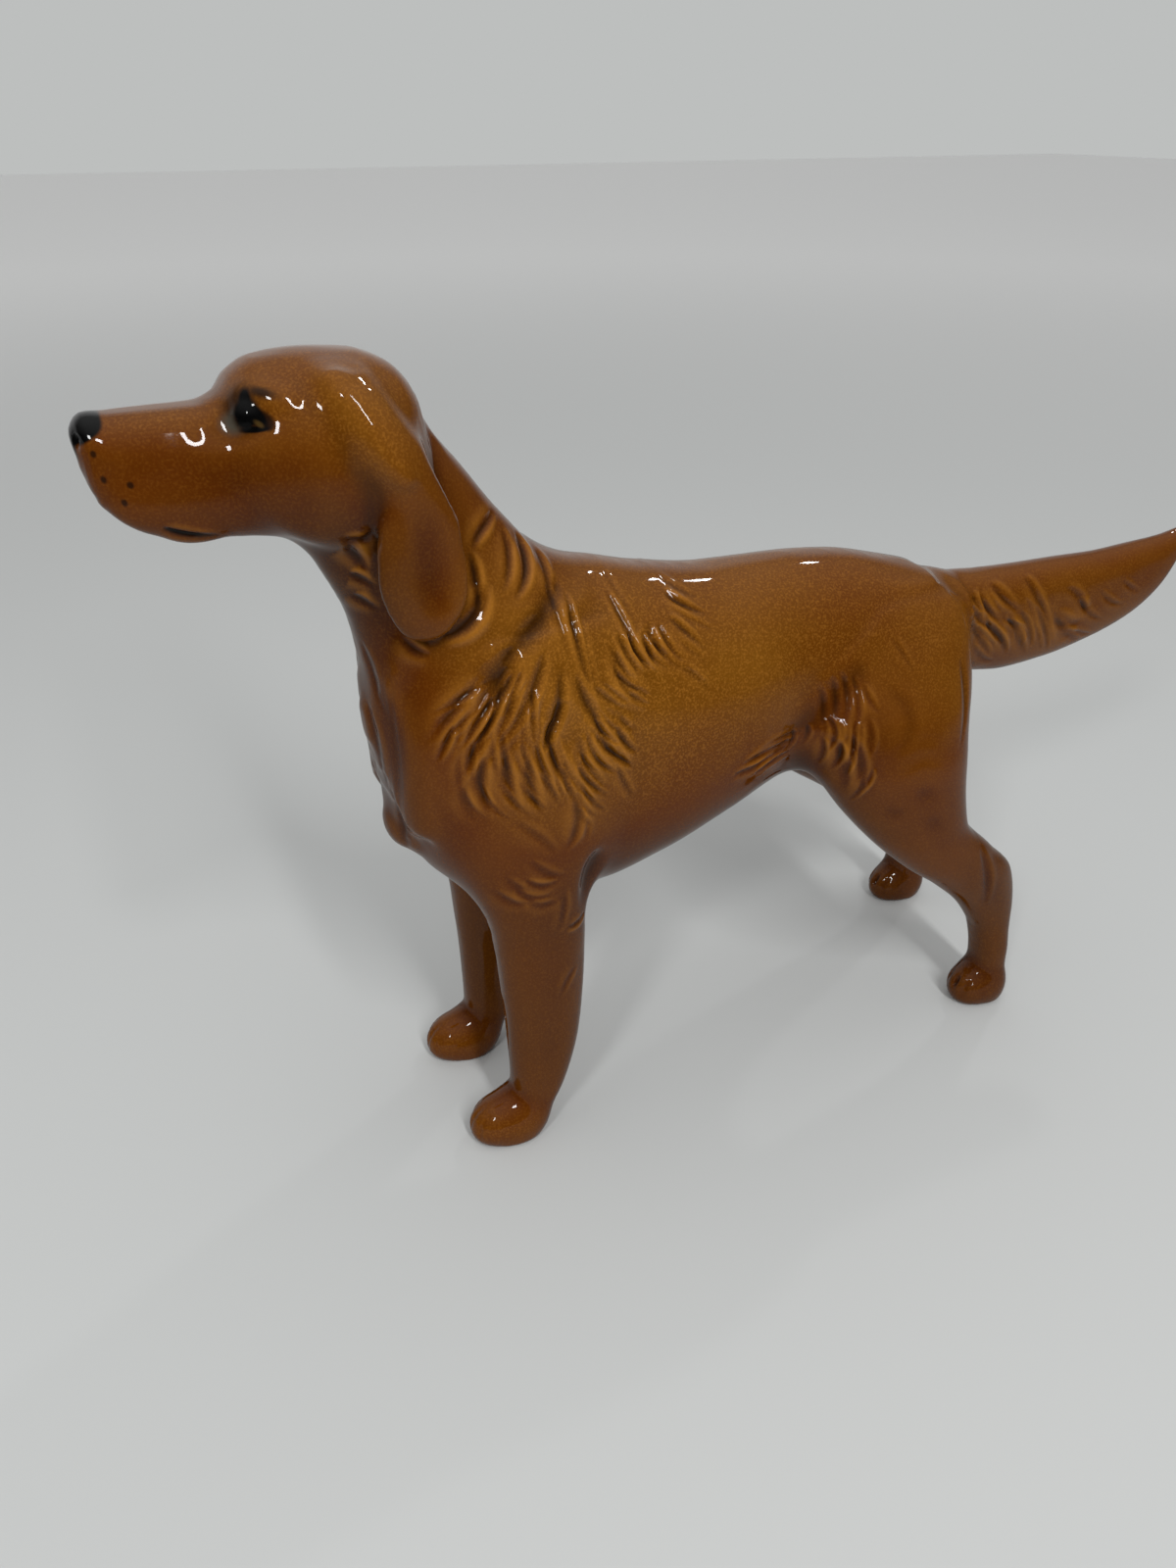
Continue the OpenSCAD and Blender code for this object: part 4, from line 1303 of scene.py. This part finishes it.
    def paint(self, points: Array, normals: Array, faces: Array, relief: Array,
              lips: Array) -> Array:
        """Work out where glaze pools and runs thin, and where spray and painted light lie.

        Glaze pools in a stroke, and where a point lies below the mean of its wider
        surroundings; there, as between ear and neck or at elbow and groin, the darker
        colour is partly painted shade. Glaze runs thin where a point stands above. A
        sprayed patch falls off as a bell; the patches are partly painted light on top
        and painted shade underneath.

        Args:
            points: places on the skin.
            normals: unit normals there.
            faces: rows of three point numbers.
            relief: height of the strokes that the glaze follows.
            lips: height of the lip line.

        Returns:
            The columns that Skin.PAINT names.
        """
        spread, wide = Spread(faces, len(points)), points
        for _ in range(self.surround):
            wide = spread.mean(wide)
        stand = spread.mean(((points - wide) * normals).sum(1)[:, None])[:, 0]
        # Darker colour: glaze pooling in strokes, and in broad hollows partly painted shade.
        pool, crest = (share * np.clip(sign * stand / self.hollow, 0, 1)
                       + carved * np.clip(sign * relief / self.carved, 0, 1)
                       for sign, (share, carved) in ((-1, self.pooling), (1, self.thinning)))
        x, _, z = points.T
        # Sprayed patches, partly painted light on top and painted shade underneath.
        tan = sum(amount * np.exp(-((x - u) / along) ** 2 - ((z - w) / up) ** 2)
                  for u, w, along, up, amount in self.sprayed)
        return np.stack([np.clip(pool, 0, 1), np.clip(crest, 0, 1),
                         np.clip(-lips / self.inked, 0, 1), np.clip(tan, -1, 1)], axis=1)

    def even(self, clay: Clay, points: Array, faces: Array) -> Array:
        """Slide the points to even spacing and set them back on the clay's skin.

        Each point slides along the skin toward the mean of its neighbours, and a Newton
        step, the depth over its slope, sets it back.

        Args:
            clay: the finished clay.
            points: places near the skin.
            faces: rows of three point numbers.

        Returns:
            The evened places.
        """
        spread = Spread(faces, len(points))
        for _ in range(3):
            slope = clay.slope(points)
            normal = slope / np.maximum(np.linalg.norm(slope, axis=1, keepdims=True), 1e-6)
            slide = spread.mean(points) - points
            points = points + 0.6 * (slide - normal * (slide * normal).sum(1, keepdims=True))
            slope = clay.slope(points)
            depth = np.clip(clay.read(points), -self.step, self.step)[:, None]
            points = points - depth * slope / np.maximum((slope ** 2).sum(1, keepdims=True), 0.2)
        return points


# Finishes


def linear(code: str) -> tuple[float, float, float, float]:
    """Turn an sRGB hex colour to linear light with full cover.

    Args:
        code: the colour as #rrggbb.

    Returns:
        Red, green, blue and a cover of 1.
    """
    c = np.array([int(code[i:i + 2], 16) for i in (1, 3, 5)]) / 255
    c = np.where(c <= 0.04045, c / 12.92, ((c + 0.055) / 1.055) ** 2.4)
    return (*c.tolist(), 1.0)


def add_node(tree: bpy.types.NodeTree, kind: str, settings: dict | None = None,
             links: dict | None = None) -> bpy.types.Node:
    """Add a node with its settings and links.

    Args:
        tree: the material's node tree.
        kind: Blender's name for the node.
        settings: values by attribute, or by input name or number.
        links: outputs that go into inputs, by input name or number.

    Returns:
        The node.
    """
    node = tree.nodes.new(kind)
    for key, value in (settings or {}).items():
        if isinstance(key, str) and hasattr(node, key):
            setattr(node, key, value)
        else:
            node.inputs[key].default_value = value
    for key, output in (links or {}).items():
        tree.links.new(output, node.inputs[key])
    return node


def blank(name: str) -> tuple[bpy.types.Material, bpy.types.NodeTree, bpy.types.Node]:
    """A new material with only its output node.

    Args:
        name: the material's name.

    Returns:
        The material, its node tree and its output node.
    """
    material = bpy.data.materials.new(name)
    material.use_nodes = True
    material.node_tree.nodes.clear()
    output = material.node_tree.nodes.new("ShaderNodeOutputMaterial")
    return material, material.node_tree, output


MIX_A, MIX_B, MIX_OUT = 6, 7, 2


@dataclass(frozen=True)
class GlazedPorcelain:
    """Porcelain sprayed with brown underglaze and dipped in a clear gloss glaze.

    The glaze gives the eye sharp small highlights over a deep, warm colour. It pools
    darker in every groove and runs thin and golden on the locks; broad hollows get the
    same darker colour, partly as painted shade. The sprayed colour is uneven and finely
    speckled, and carries painted light on top and painted shade underneath.

    Attributes:
        coat: hex colour of the sprayed body.
        warm: hex colour where the spray is thinner, and of the painted light along the top.
        deep: hex colour where the spray is thicker, and of the painted shade underneath.
        pooled: hex colour in grooves, where glaze pools, and in broad hollows as painted shade.
        thin: hex colour on raised locks.
        speck_mm: size of the speckle; finer on the real piece, coarser here to show.
        cloud_mm: size of the sprayed patches.
        ripple_mm: width of the glaze's ripples.
        roughness: of the fired gloss glaze.
        ior: of the glaze.
        gloss: share of the glaze's mirror, which the stain under it dulls; 0.5 is full.
        uneven: how far the sprayed patches go from coat towards warm.
        grain: share of the speckle where the spray is thick and where it is thin.
        crest_share: how much of the thin colour the highest locks show.
        pool_share: how much of that colour the deepest grooves and hollows show.
        ripple: strength of the glaze's ripples.
    """

    coat: str = "#562803"
    warm: str = "#70440d"
    deep: str = "#2e1508"
    pooled: str = "#220f03"
    thin: str = "#b5772a"
    speck_mm: float = 0.38
    cloud_mm: float = 22.0
    ripple_mm: float = 5.0
    roughness: float = 0.04
    ior: float = 1.5
    gloss: float = 0.25
    uneven: float = 0.32
    grain: tuple[float, float] = (0.08, 0.42)
    crest_share: float = 0.55
    pool_share: float = 0.9
    ripple: float = 0.18

    def colour(self, tree: bpy.types.NodeTree, place: bpy.types.NodeSocket
               ) -> bpy.types.NodeSocket:
        """Mix the sprayed and glazed colour, with the painted light and shade that the paint columns carry.

        Args:
            tree: the material's node tree.
            place: output that gives bench millimetres.

        Returns:
            The colour output.
        """
        cloud = add_node(tree, "ShaderNodeTexNoise",
                         {"Scale": 1 / self.cloud_mm, "Detail": 3.0}, {"Vector": place})
        # The sprayed colour, with painted light on top and painted shade underneath.
        tan = add_node(tree, "ShaderNodeAttribute", {"attribute_name": "tan"})
        uneven = add_node(tree, "ShaderNodeMapRange",
                          {"From Min": 0.3, "From Max": 0.7,
                           "To Min": -self.uneven, "To Max": self.uneven},
                          {"Value": cloud.outputs[0]})
        patch = add_node(tree, "ShaderNodeMath", {"operation": "ADD", "use_clamp": True},
                         {0: tan.outputs["Fac"], 1: uneven.outputs[0]})
        base = add_node(tree, "ShaderNodeMix",
                        {"data_type": "RGBA", MIX_A: linear(self.coat), MIX_B: linear(self.warm)},
                        {0: patch.outputs[0]})
        # Darker where the amount is below zero: thicker spray, partly painted shade.
        thick = add_node(tree, "ShaderNodeMapRange", {"From Min": 0.0, "From Max": -1.0},
                         {"Value": tan.outputs["Fac"]})
        base = add_node(tree, "ShaderNodeMix", {"data_type": "RGBA", MIX_B: linear(self.deep)},
                        {0: thick.outputs[0], MIX_A: base.outputs[MIX_OUT]})
        speck = add_node(tree, "ShaderNodeTexNoise",
                         {"Scale": 1 / self.speck_mm, "Detail": 1.0}, {"Vector": place})
        share = add_node(tree, "ShaderNodeMapRange",
                         {"To Min": self.grain[0], "To Max": self.grain[1]},
                         {"Value": tan.outputs["Fac"]})
        grain = add_node(tree, "ShaderNodeMapRange", {"From Min": 0.45, "From Max": 0.75},
                         {"Value": speck.outputs[0], "To Max": share.outputs[0]})
        base = add_node(tree, "ShaderNodeMix", {"data_type": "RGBA", MIX_B: linear(self.thin)},
                        {0: grain.outputs[0], MIX_A: base.outputs[MIX_OUT]})
        # Lighter where glaze runs thin on crests; darker where it pools in grooves and as painted shade in
        # hollows.
        for label, colour, most in (("crest", self.thin, self.crest_share),
                                    ("pool", self.pooled, self.pool_share)):
            amount = add_node(tree, "ShaderNodeAttribute", {"attribute_name": label})
            share = add_node(tree, "ShaderNodeMapRange", {"To Max": most},
                             {"Value": amount.outputs["Fac"]})
            base = add_node(tree, "ShaderNodeMix", {"data_type": "RGBA", MIX_B: linear(colour)},
                            {0: share.outputs[0], MIX_A: base.outputs[MIX_OUT]})
        return base.outputs[MIX_OUT]

    def over(self, tree: bpy.types.NodeTree, place: bpy.types.NodeSocket,
             colour: bpy.types.NodeSocket) -> bpy.types.NodeSocket:
        """Paint over the sprayed colour: nothing on most castings."""
        return colour

    def material(self, name: str) -> bpy.types.Material:
        """Make the material.

        Args:
            name: its name.

        Returns:
            The material.
        """
        material, tree, output = blank(name)
        where = add_node(tree, "ShaderNodeTexCoord")
        bench = add_node(tree, "ShaderNodeMapping",
                         {"Scale": (1 / MM,) * 3, "Location": (-FOREPAW_LINE, 0, 0)},
                         {"Vector": where.outputs["Object"]}).outputs[0]
        colour = self.over(tree, bench, self.colour(tree, bench))
        ripple = add_node(tree, "ShaderNodeTexNoise",
                          {"Scale": 1 / self.ripple_mm, "Detail": 1.0}, {"Vector": bench})
        bump = add_node(tree, "ShaderNodeBump",
                        {"Strength": self.ripple, "Distance": 0.25 * MM},
                        {"Height": ripple.outputs[0]})
        shader = add_node(tree, "ShaderNodeBsdfPrincipled",
                          {"Roughness": self.roughness, "IOR": self.ior,
                           "Specular IOR Level": self.gloss},
                          {"Base Color": colour, "Normal": bump.outputs[0]})
        tree.links.new(shader.outputs[0], output.inputs["Surface"])
        return material


@dataclass(frozen=True)
class Touch:
    """A touch of enamel on the face, the same on both sides.

    Attributes:
        at: x, distance from the middle line, z.
        reach: half lengths along the surface, up the surface and through it.
        colour: hex colour.
        soft: width of its edge as a share of the reach.
        cover: how much of the glaze it hides.
        turn: turn on the surface, in degrees.
    """

    at: tuple[float, float, float]
    reach: tuple[float, float, float]
    colour: str
    soft: float = 0.15
    cover: float = 1.0
    turn: float = 0.0


@dataclass(frozen=True)
class PaintedFace(GlazedPorcelain):
    """The same glazed porcelain with a hand-painted face.

    Black enamel gives the nose and eyes, an airbrushed grey the hollow round the eye, a
    brown the eye's corner, and fine dots the whisker bed.

    Attributes:
        black: hex colour of the nose and eyes.
        nose_back: x at which the nose's black ends.
        nose_foot: x and z of a point of its slanting lower edge, and the edge's rise.
        eye_along: direction along the surface at the eye.
        eye_up: direction up the surface there.
    """

    black: str = "#050505"
    nose_back: float = -48.0
    nose_foot: tuple[float, float, float] = (-51.3, 136.5, 0.62)
    eye_along: tuple[float, float, float] = (0.819, 0.576, 0.036)
    eye_up: tuple[float, float, float] = (0.21, -0.438, 0.872)

    def touches(self) -> list[Touch]:
        """Every touch of paint, in the order in which it goes on.

        Returns:
            The touches of the eye, the whisker dots and the one under the nose.
        """
        lash = "#1c0f06"
        eye = [Touch((-31.0, 6.9, 140.4), (2.5, 2.7, 4), "#1e1108", 0.65, 0.85),
               Touch((-31.9, 7.0, 138.2), (1.7, 1.3, 2.5), "#474a43", 0.7, 0.7),
               Touch((-28.0, 8.6, 142.1), (1.9, 0.7, 2.5), lash, 0.7, 0.9, -12),
               Touch((-28.4, 9.5, 138.8), (1.9, 1.1, 2.5), "#1d0e05", 0.35, 0.95, -32),
               Touch((-30.0, 7.5, 141.2), (0.85, 1.5, 3), self.black, 0.35, 1.0, 8),
               Touch((-30.4, 8.4, 139.5), (1.85, 2.2, 3), self.black, 0.35),
               Touch((-29.2, 9.2, 139.7), (2.1, 0.7, 3), self.black, 0.35, 1.0, -48),
               Touch((-29.5, 9.2, 137.6), (2.1, 0.4, 2.5), self.black, 0.35, 1.0, 4),
               Touch((-28.9, 9.3, 138.25), (0.62, 0.32, 2), "#4a381a", 0.6, 0.75, -30)]
        dots = [Touch(p, (0.42, 0.42, 2), lash, 0.45, 0.85)
                for p in ((-49.6, 4.7, 135.5), (-49.0, 5.1, 132.2), (-46.1, 6.7, 131.6),
                          (-47.2, 6.4, 129.3))]
        dots.append(Touch((-51.7, 0.0, 135.6), (1.9, 1.9, 2.4), "#0c0603", 0.3, 0.95))
        return eye + dots

    def over(self, tree: bpy.types.NodeTree, place: bpy.types.NodeSocket,
             colour: bpy.types.NodeSocket) -> bpy.types.NodeSocket:
        """Paint the face over the sprayed colour.

        A touch is an ellipsoid about its place, read on the distance from the middle
        line so that both sides match. The nose ends at an upright plane and at a slanting
        one, rounded where they meet.

        Args:
            tree: the material's node tree.
            place: output that gives bench millimetres.
            colour: the sprayed colour.

        Returns:
            The painted colour.
        """
        parts = add_node(tree, "ShaderNodeSeparateXYZ", {}, {0: place})
        out = add_node(tree, "ShaderNodeMath", {"operation": "ABSOLUTE"}, {0: parts.outputs[1]})
        half = add_node(tree, "ShaderNodeCombineXYZ", {},
                        {0: parts.outputs[0], 1: out.outputs[0], 2: parts.outputs[2]}).outputs[0]
        along, up = Vector(self.eye_along), Vector(self.eye_up)
        through = along.cross(up).normalized()
        axes = Matrix((along, through.cross(along), through)).transposed()
        for touch in self.touches():
            turn = axes @ Matrix.Rotation(np.radians(touch.turn), 3, "Z")
            local = add_node(tree, "ShaderNodeMapping",
                             {"vector_type": "TEXTURE", "Location": touch.at,
                              "Rotation": turn.to_euler(), "Scale": touch.reach},
                             {"Vector": half})
            far = add_node(tree, "ShaderNodeVectorMath", {"operation": "LENGTH"},
                           {0: local.outputs[0]})
            mask = add_node(tree, "ShaderNodeMapRange",
                            {"interpolation_type": "SMOOTHSTEP", "From Min": 1 + touch.soft,
                             "From Max": 1 - touch.soft, "To Max": touch.cover},
                            {"Value": far.outputs["Value"]})
            colour = self.lay(tree, colour, mask.outputs[0], touch.colour)
        ahead = add_node(tree, "ShaderNodeMath", {"operation": "SUBTRACT", 0: self.nose_back},
                         {1: parts.outputs[0]})
        x, z, rise = self.nose_foot
        slant = add_node(tree, "ShaderNodeMath",
                         {"operation": "MULTIPLY_ADD", 1: -rise, 2: rise * x - z},
                         {0: parts.outputs[0]})
        above = add_node(tree, "ShaderNodeMath", {"operation": "ADD"},
                         {0: parts.outputs[2], 1: slant.outputs[0]})
        inner = add_node(tree, "ShaderNodeMath", {"operation": "SMOOTH_MIN", 2: 1.5},
                         {0: ahead.outputs[0], 1: above.outputs[0]})
        nose = add_node(tree, "ShaderNodeMapRange",
                        {"interpolation_type": "SMOOTHSTEP", "From Min": -0.5, "From Max": 0.1},
                        {"Value": inner.outputs[0]})
        colour = self.lay(tree, colour, nose.outputs[0], self.black)
        lip = add_node(tree, "ShaderNodeAttribute", {"attribute_name": "ink"})
        return self.lay(tree, colour, lip.outputs["Fac"], "#0d0604")

    def lay(self, tree: bpy.types.NodeTree, under: bpy.types.NodeSocket,
            mask: bpy.types.NodeSocket, colour: str) -> bpy.types.NodeSocket:
        """Lay a colour over another where the mask says."""
        mix = add_node(tree, "ShaderNodeMix", {"data_type": "RGBA", MIX_B: linear(colour)},
                       {0: mask, MIX_A: under})
        return mix.outputs[MIX_OUT]


@dataclass(frozen=True)
class PaintedBoard:
    """A pale painted board with a matt finish, which gives the eye only a soft ground.

    Attributes:
        paint: hex colour.
        far_paint: hex colour of the far part, which the lamps reach less.
        fade: where the one turns to the other, in metres from the middle.
        dulled: share of its light that the glaze does not mirror, near and far in front.
        behind: metres behind the dog between which that share falls to a little.
        roughness: of the matt paint.
    """

    paint: str = "#c7c9c8"
    far_paint: str = "#f3f4f3"
    fade: tuple[float, float] = (0.35, 1.6)
    dulled: tuple[float, float] = (0.35, 0.96)
    behind: tuple[float, float] = (0.1, 0.5)
    roughness: float = 0.65

    def material(self, name: str) -> bpy.types.Material:
        """Make the material.

        Args:
            name: its name.

        Returns:
            The material.
        """
        material, tree, output = blank(name)
        where = add_node(tree, "ShaderNodeTexCoord")
        far = add_node(tree, "ShaderNodeVectorMath", {"operation": "LENGTH"},
                       {0: where.outputs["Object"]})
        share = add_node(tree, "ShaderNodeMapRange",
                         {"interpolation_type": "SMOOTHSTEP", "From Min": self.fade[0],
                          "From Max": self.fade[1]}, {"Value": far.outputs["Value"]})
        mix = add_node(tree, "ShaderNodeMix",
                       {"data_type": "RGBA", MIX_A: linear(self.paint),
                        MIX_B: linear(self.far_paint)}, {0: share.outputs[0]})
        path = add_node(tree, "ShaderNodeLightPath")
        lost = add_node(tree, "ShaderNodeMapRange",
                        {"interpolation_type": "SMOOTHSTEP", "From Max": 0.7,
                         "To Min": self.dulled[0], "To Max": self.dulled[1]},
                        {"Value": far.outputs["Value"]})
        side = add_node(tree, "ShaderNodeSeparateXYZ", {}, {0: where.outputs["Object"]})
        front = add_node(tree, "ShaderNodeMapRange",
                         {"From Min": self.behind[0], "From Max": self.behind[1],
                          "To Min": 1.0, "To Max": 0.15},
                         {"Value": side.outputs[1]})
        for share in (front.outputs[0], path.outputs["Is Glossy Ray"]):
            lost = add_node(tree, "ShaderNodeMath", {"operation": "MULTIPLY"},
                            {0: lost.outputs[0], 1: share})
        mix = add_node(tree, "ShaderNodeMix", {"data_type": "RGBA", MIX_B: (0, 0, 0, 1)},
                       {0: lost.outputs[0], MIX_A: mix.outputs[MIX_OUT]})
        shader = add_node(tree, "ShaderNodeBsdfPrincipled",
                          {"Roughness": self.roughness, "Specular IOR Level": 0.3},
                          {"Base Color": mix.outputs[MIX_OUT]})
        tree.links.new(shader.outputs[0], output.inputs["Surface"])
        return material


# Studio


@dataclass(frozen=True)
class Lamp:
    """A small soft box.

    Attributes:
        name: its name.
        at: place in metres.
        aim: place it points at.
        size: width and height in metres.
        watts: its power.
    """

    name: str
    at: tuple[float, float, float]
    aim: tuple[float, float, float]
    size: tuple[float, float]
    watts: float

    def hang(self) -> None:
        """Put the lamp in the scene."""
        data = bpy.data.lights.new(self.name, "AREA")
        data.energy, data.shape = self.watts, "RECTANGLE"
        data.size, data.size_y = self.size
        lamp = bpy.data.objects.new(self.name, data)
        lamp.location = self.at
        along = Vector(self.aim) - Vector(self.at)
        lamp.rotation_euler = along.to_track_quat("-Z", "Y").to_euler()
        bpy.context.scene.collection.objects.link(lamp)


@dataclass
class Studio:
    """Pale floor, soft lamps, pale surroundings and the camera.

    Attributes:
        floor_half: half width of the floor in metres.
        ground: hex colour that the camera sees beyond the floor.
        dusk: strength of the surroundings at the horizon.
        zenith: their strength overhead.
        mirrored: share of it that the glaze mirrors.
        backdrop: strength of the backdrop that the glaze mirrors behind the dog.
        behind: shares of the way back between which that backdrop comes up.
        camera_at: the camera's place in metres.
        camera_along: the way it looks.
        lens: focal length in millimetres on a 36 mm sensor.
        lamps: the soft boxes.
    """

    floor_half: float = 4.0
    ground: str = "#bdbfbe"
    dusk: float = 0.05
    zenith: float = 1.04
    mirrored: float = 0.65
    backdrop: float = 0.55
    behind: tuple[float, float] = (0.3, 0.9)
    camera_at: tuple[float, float, float] = (-0.11523, -0.17051, 0.1747)
    camera_along: tuple[float, float, float] = (0.37, 0.783, -0.5)
    lens: float = 27.0
    lamps: tuple[Lamp, ...] = (
        Lamp("tall_pane", (-0.05, -0.74, 0.75), (0.0, 0.0, 0.08), (0.065, 0.5), 4.5),
        Lamp("rear_box", (0.59, 0.38, 0.72), (0.0, 0.0, 0.08), (0.045, 0.045), 0.45),
        Lamp("front_box", (-0.55, -0.5, 0.6), (0.0, 0.0, 0.06), (0.1, 0.14), 1.8))

    def build(self) -> None:
        """Lay the floor, hang the lamps, light the surroundings and set the camera."""
        self.lay_floor()
        for lamp in self.lamps:
            lamp.hang()
        self.surround()
        self.set_camera()

    def lay_floor(self) -> None:
        """A square board just under the soles."""
        f = self.floor_half
        mesh = bpy.data.meshes.new("floor")
        mesh.from_pydata([(-f, -f, 0), (f, -f, 0), (f, f, 0), (-f, f, 0)], [], [(0, 1, 2, 3)])
        mesh.materials.append(PaintedBoard().material("painted_board"))
        floor = bpy.data.objects.new("floor", mesh)
        floor.location.z = -0.00005
        bpy.context.scene.collection.objects.link(floor)

    def surround(self) -> None:
        """Soft light, strongest overhead, which the camera sees as the pale ground."""
        world = bpy.data.worlds.new("studio")
        world.use_nodes = True
        bpy.context.scene.world = world
        tree = world.node_tree
        tree.nodes.clear()
        path = add_node(tree, "ShaderNodeLightPath")
        where = add_node(tree, "ShaderNodeTexCoord")
        rise = add_node(tree, "ShaderNodeSeparateXYZ", {}, {0: where.outputs["Generated"]})
        square = add_node(tree, "ShaderNodeMath", {"operation": "POWER", 1: 2.0, "use_clamp": True},
                          {0: rise.outputs[2]})
        level = add_node(tree, "ShaderNodeMapRange", {"To Min": self.dusk, "To Max": self.zenith},
                         {"Value": square.outputs[0]})
        dimmed = add_node(tree, "ShaderNodeMath", {"operation": "MULTIPLY", 1: self.mirrored},
                          {0: level.outputs[0]})
        behind = add_node(tree, "ShaderNodeMapRange",
                          {"interpolation_type": "SMOOTHSTEP", "From Min": self.behind[0],
                           "From Max": self.behind[1], "To Max": self.backdrop},
                          {"Value": rise.outputs[1]})
        mirror = add_node(tree, "ShaderNodeMath", {"operation": "MAXIMUM"},
                          {0: dimmed.outputs[0], 1: behind.outputs[0]})
        level = add_node(tree, "ShaderNodeMix", {},
                         {0: path.outputs["Is Glossy Ray"], 2: level.outputs[0],
                          3: mirror.outputs[0]})
        light = add_node(tree, "ShaderNodeBackground", {"Color": (1, 1, 1, 1)},
                         {"Strength": level.outputs[0]})
        pale = add_node(tree, "ShaderNodeBackground",
                        {"Color": linear(self.ground), "Strength": 1.0})
        mix = add_node(tree, "ShaderNodeMixShader", {},
                       {0: path.outputs["Is Camera Ray"], 1: light.outputs[0],
                        2: pale.outputs[0]})
        add_node(tree, "ShaderNodeOutputWorld", {}, {"Surface": mix.outputs[0]})

    def set_camera(self) -> None:
        """The camera at the photograph's place, level and in focus everywhere."""
        data = bpy.data.cameras.new("camera")
        data.lens, data.sensor_width = self.lens, 36.0
        data.clip_start, data.clip_end = 0.005, 50.0
        camera = bpy.data.objects.new("camera", data)
        camera.location = self.camera_at
        camera.rotation_euler = Vector(self.camera_along).to_track_quat("-Z", "Y").to_euler()
        bpy.context.scene.collection.objects.link(camera)
        bpy.context.scene.camera = camera


def main() -> None:
    """Model the dog, cut it into its castings, glaze them and light them."""
    logging.basicConfig(level=logging.INFO, format="%(name)s: %(message)s")
    bpy.context.scene.view_settings.view_transform = "Standard"
    Studio().build()
    dog = Figurine()
    skin = dog.skin(dog.model())
    LOG.info("whole skin: %d triangles", len(skin.faces))
    glaze = GlazedPorcelain().material("glazed_porcelain")
    face = PaintedFace().material("glazed_porcelain_with_painted_face")
    for casting in dog.castings():
        skin = casting.cut(skin)
        casting.dress(face if casting is dog.head else glaze)


if __name__ == "__main__":
    main()
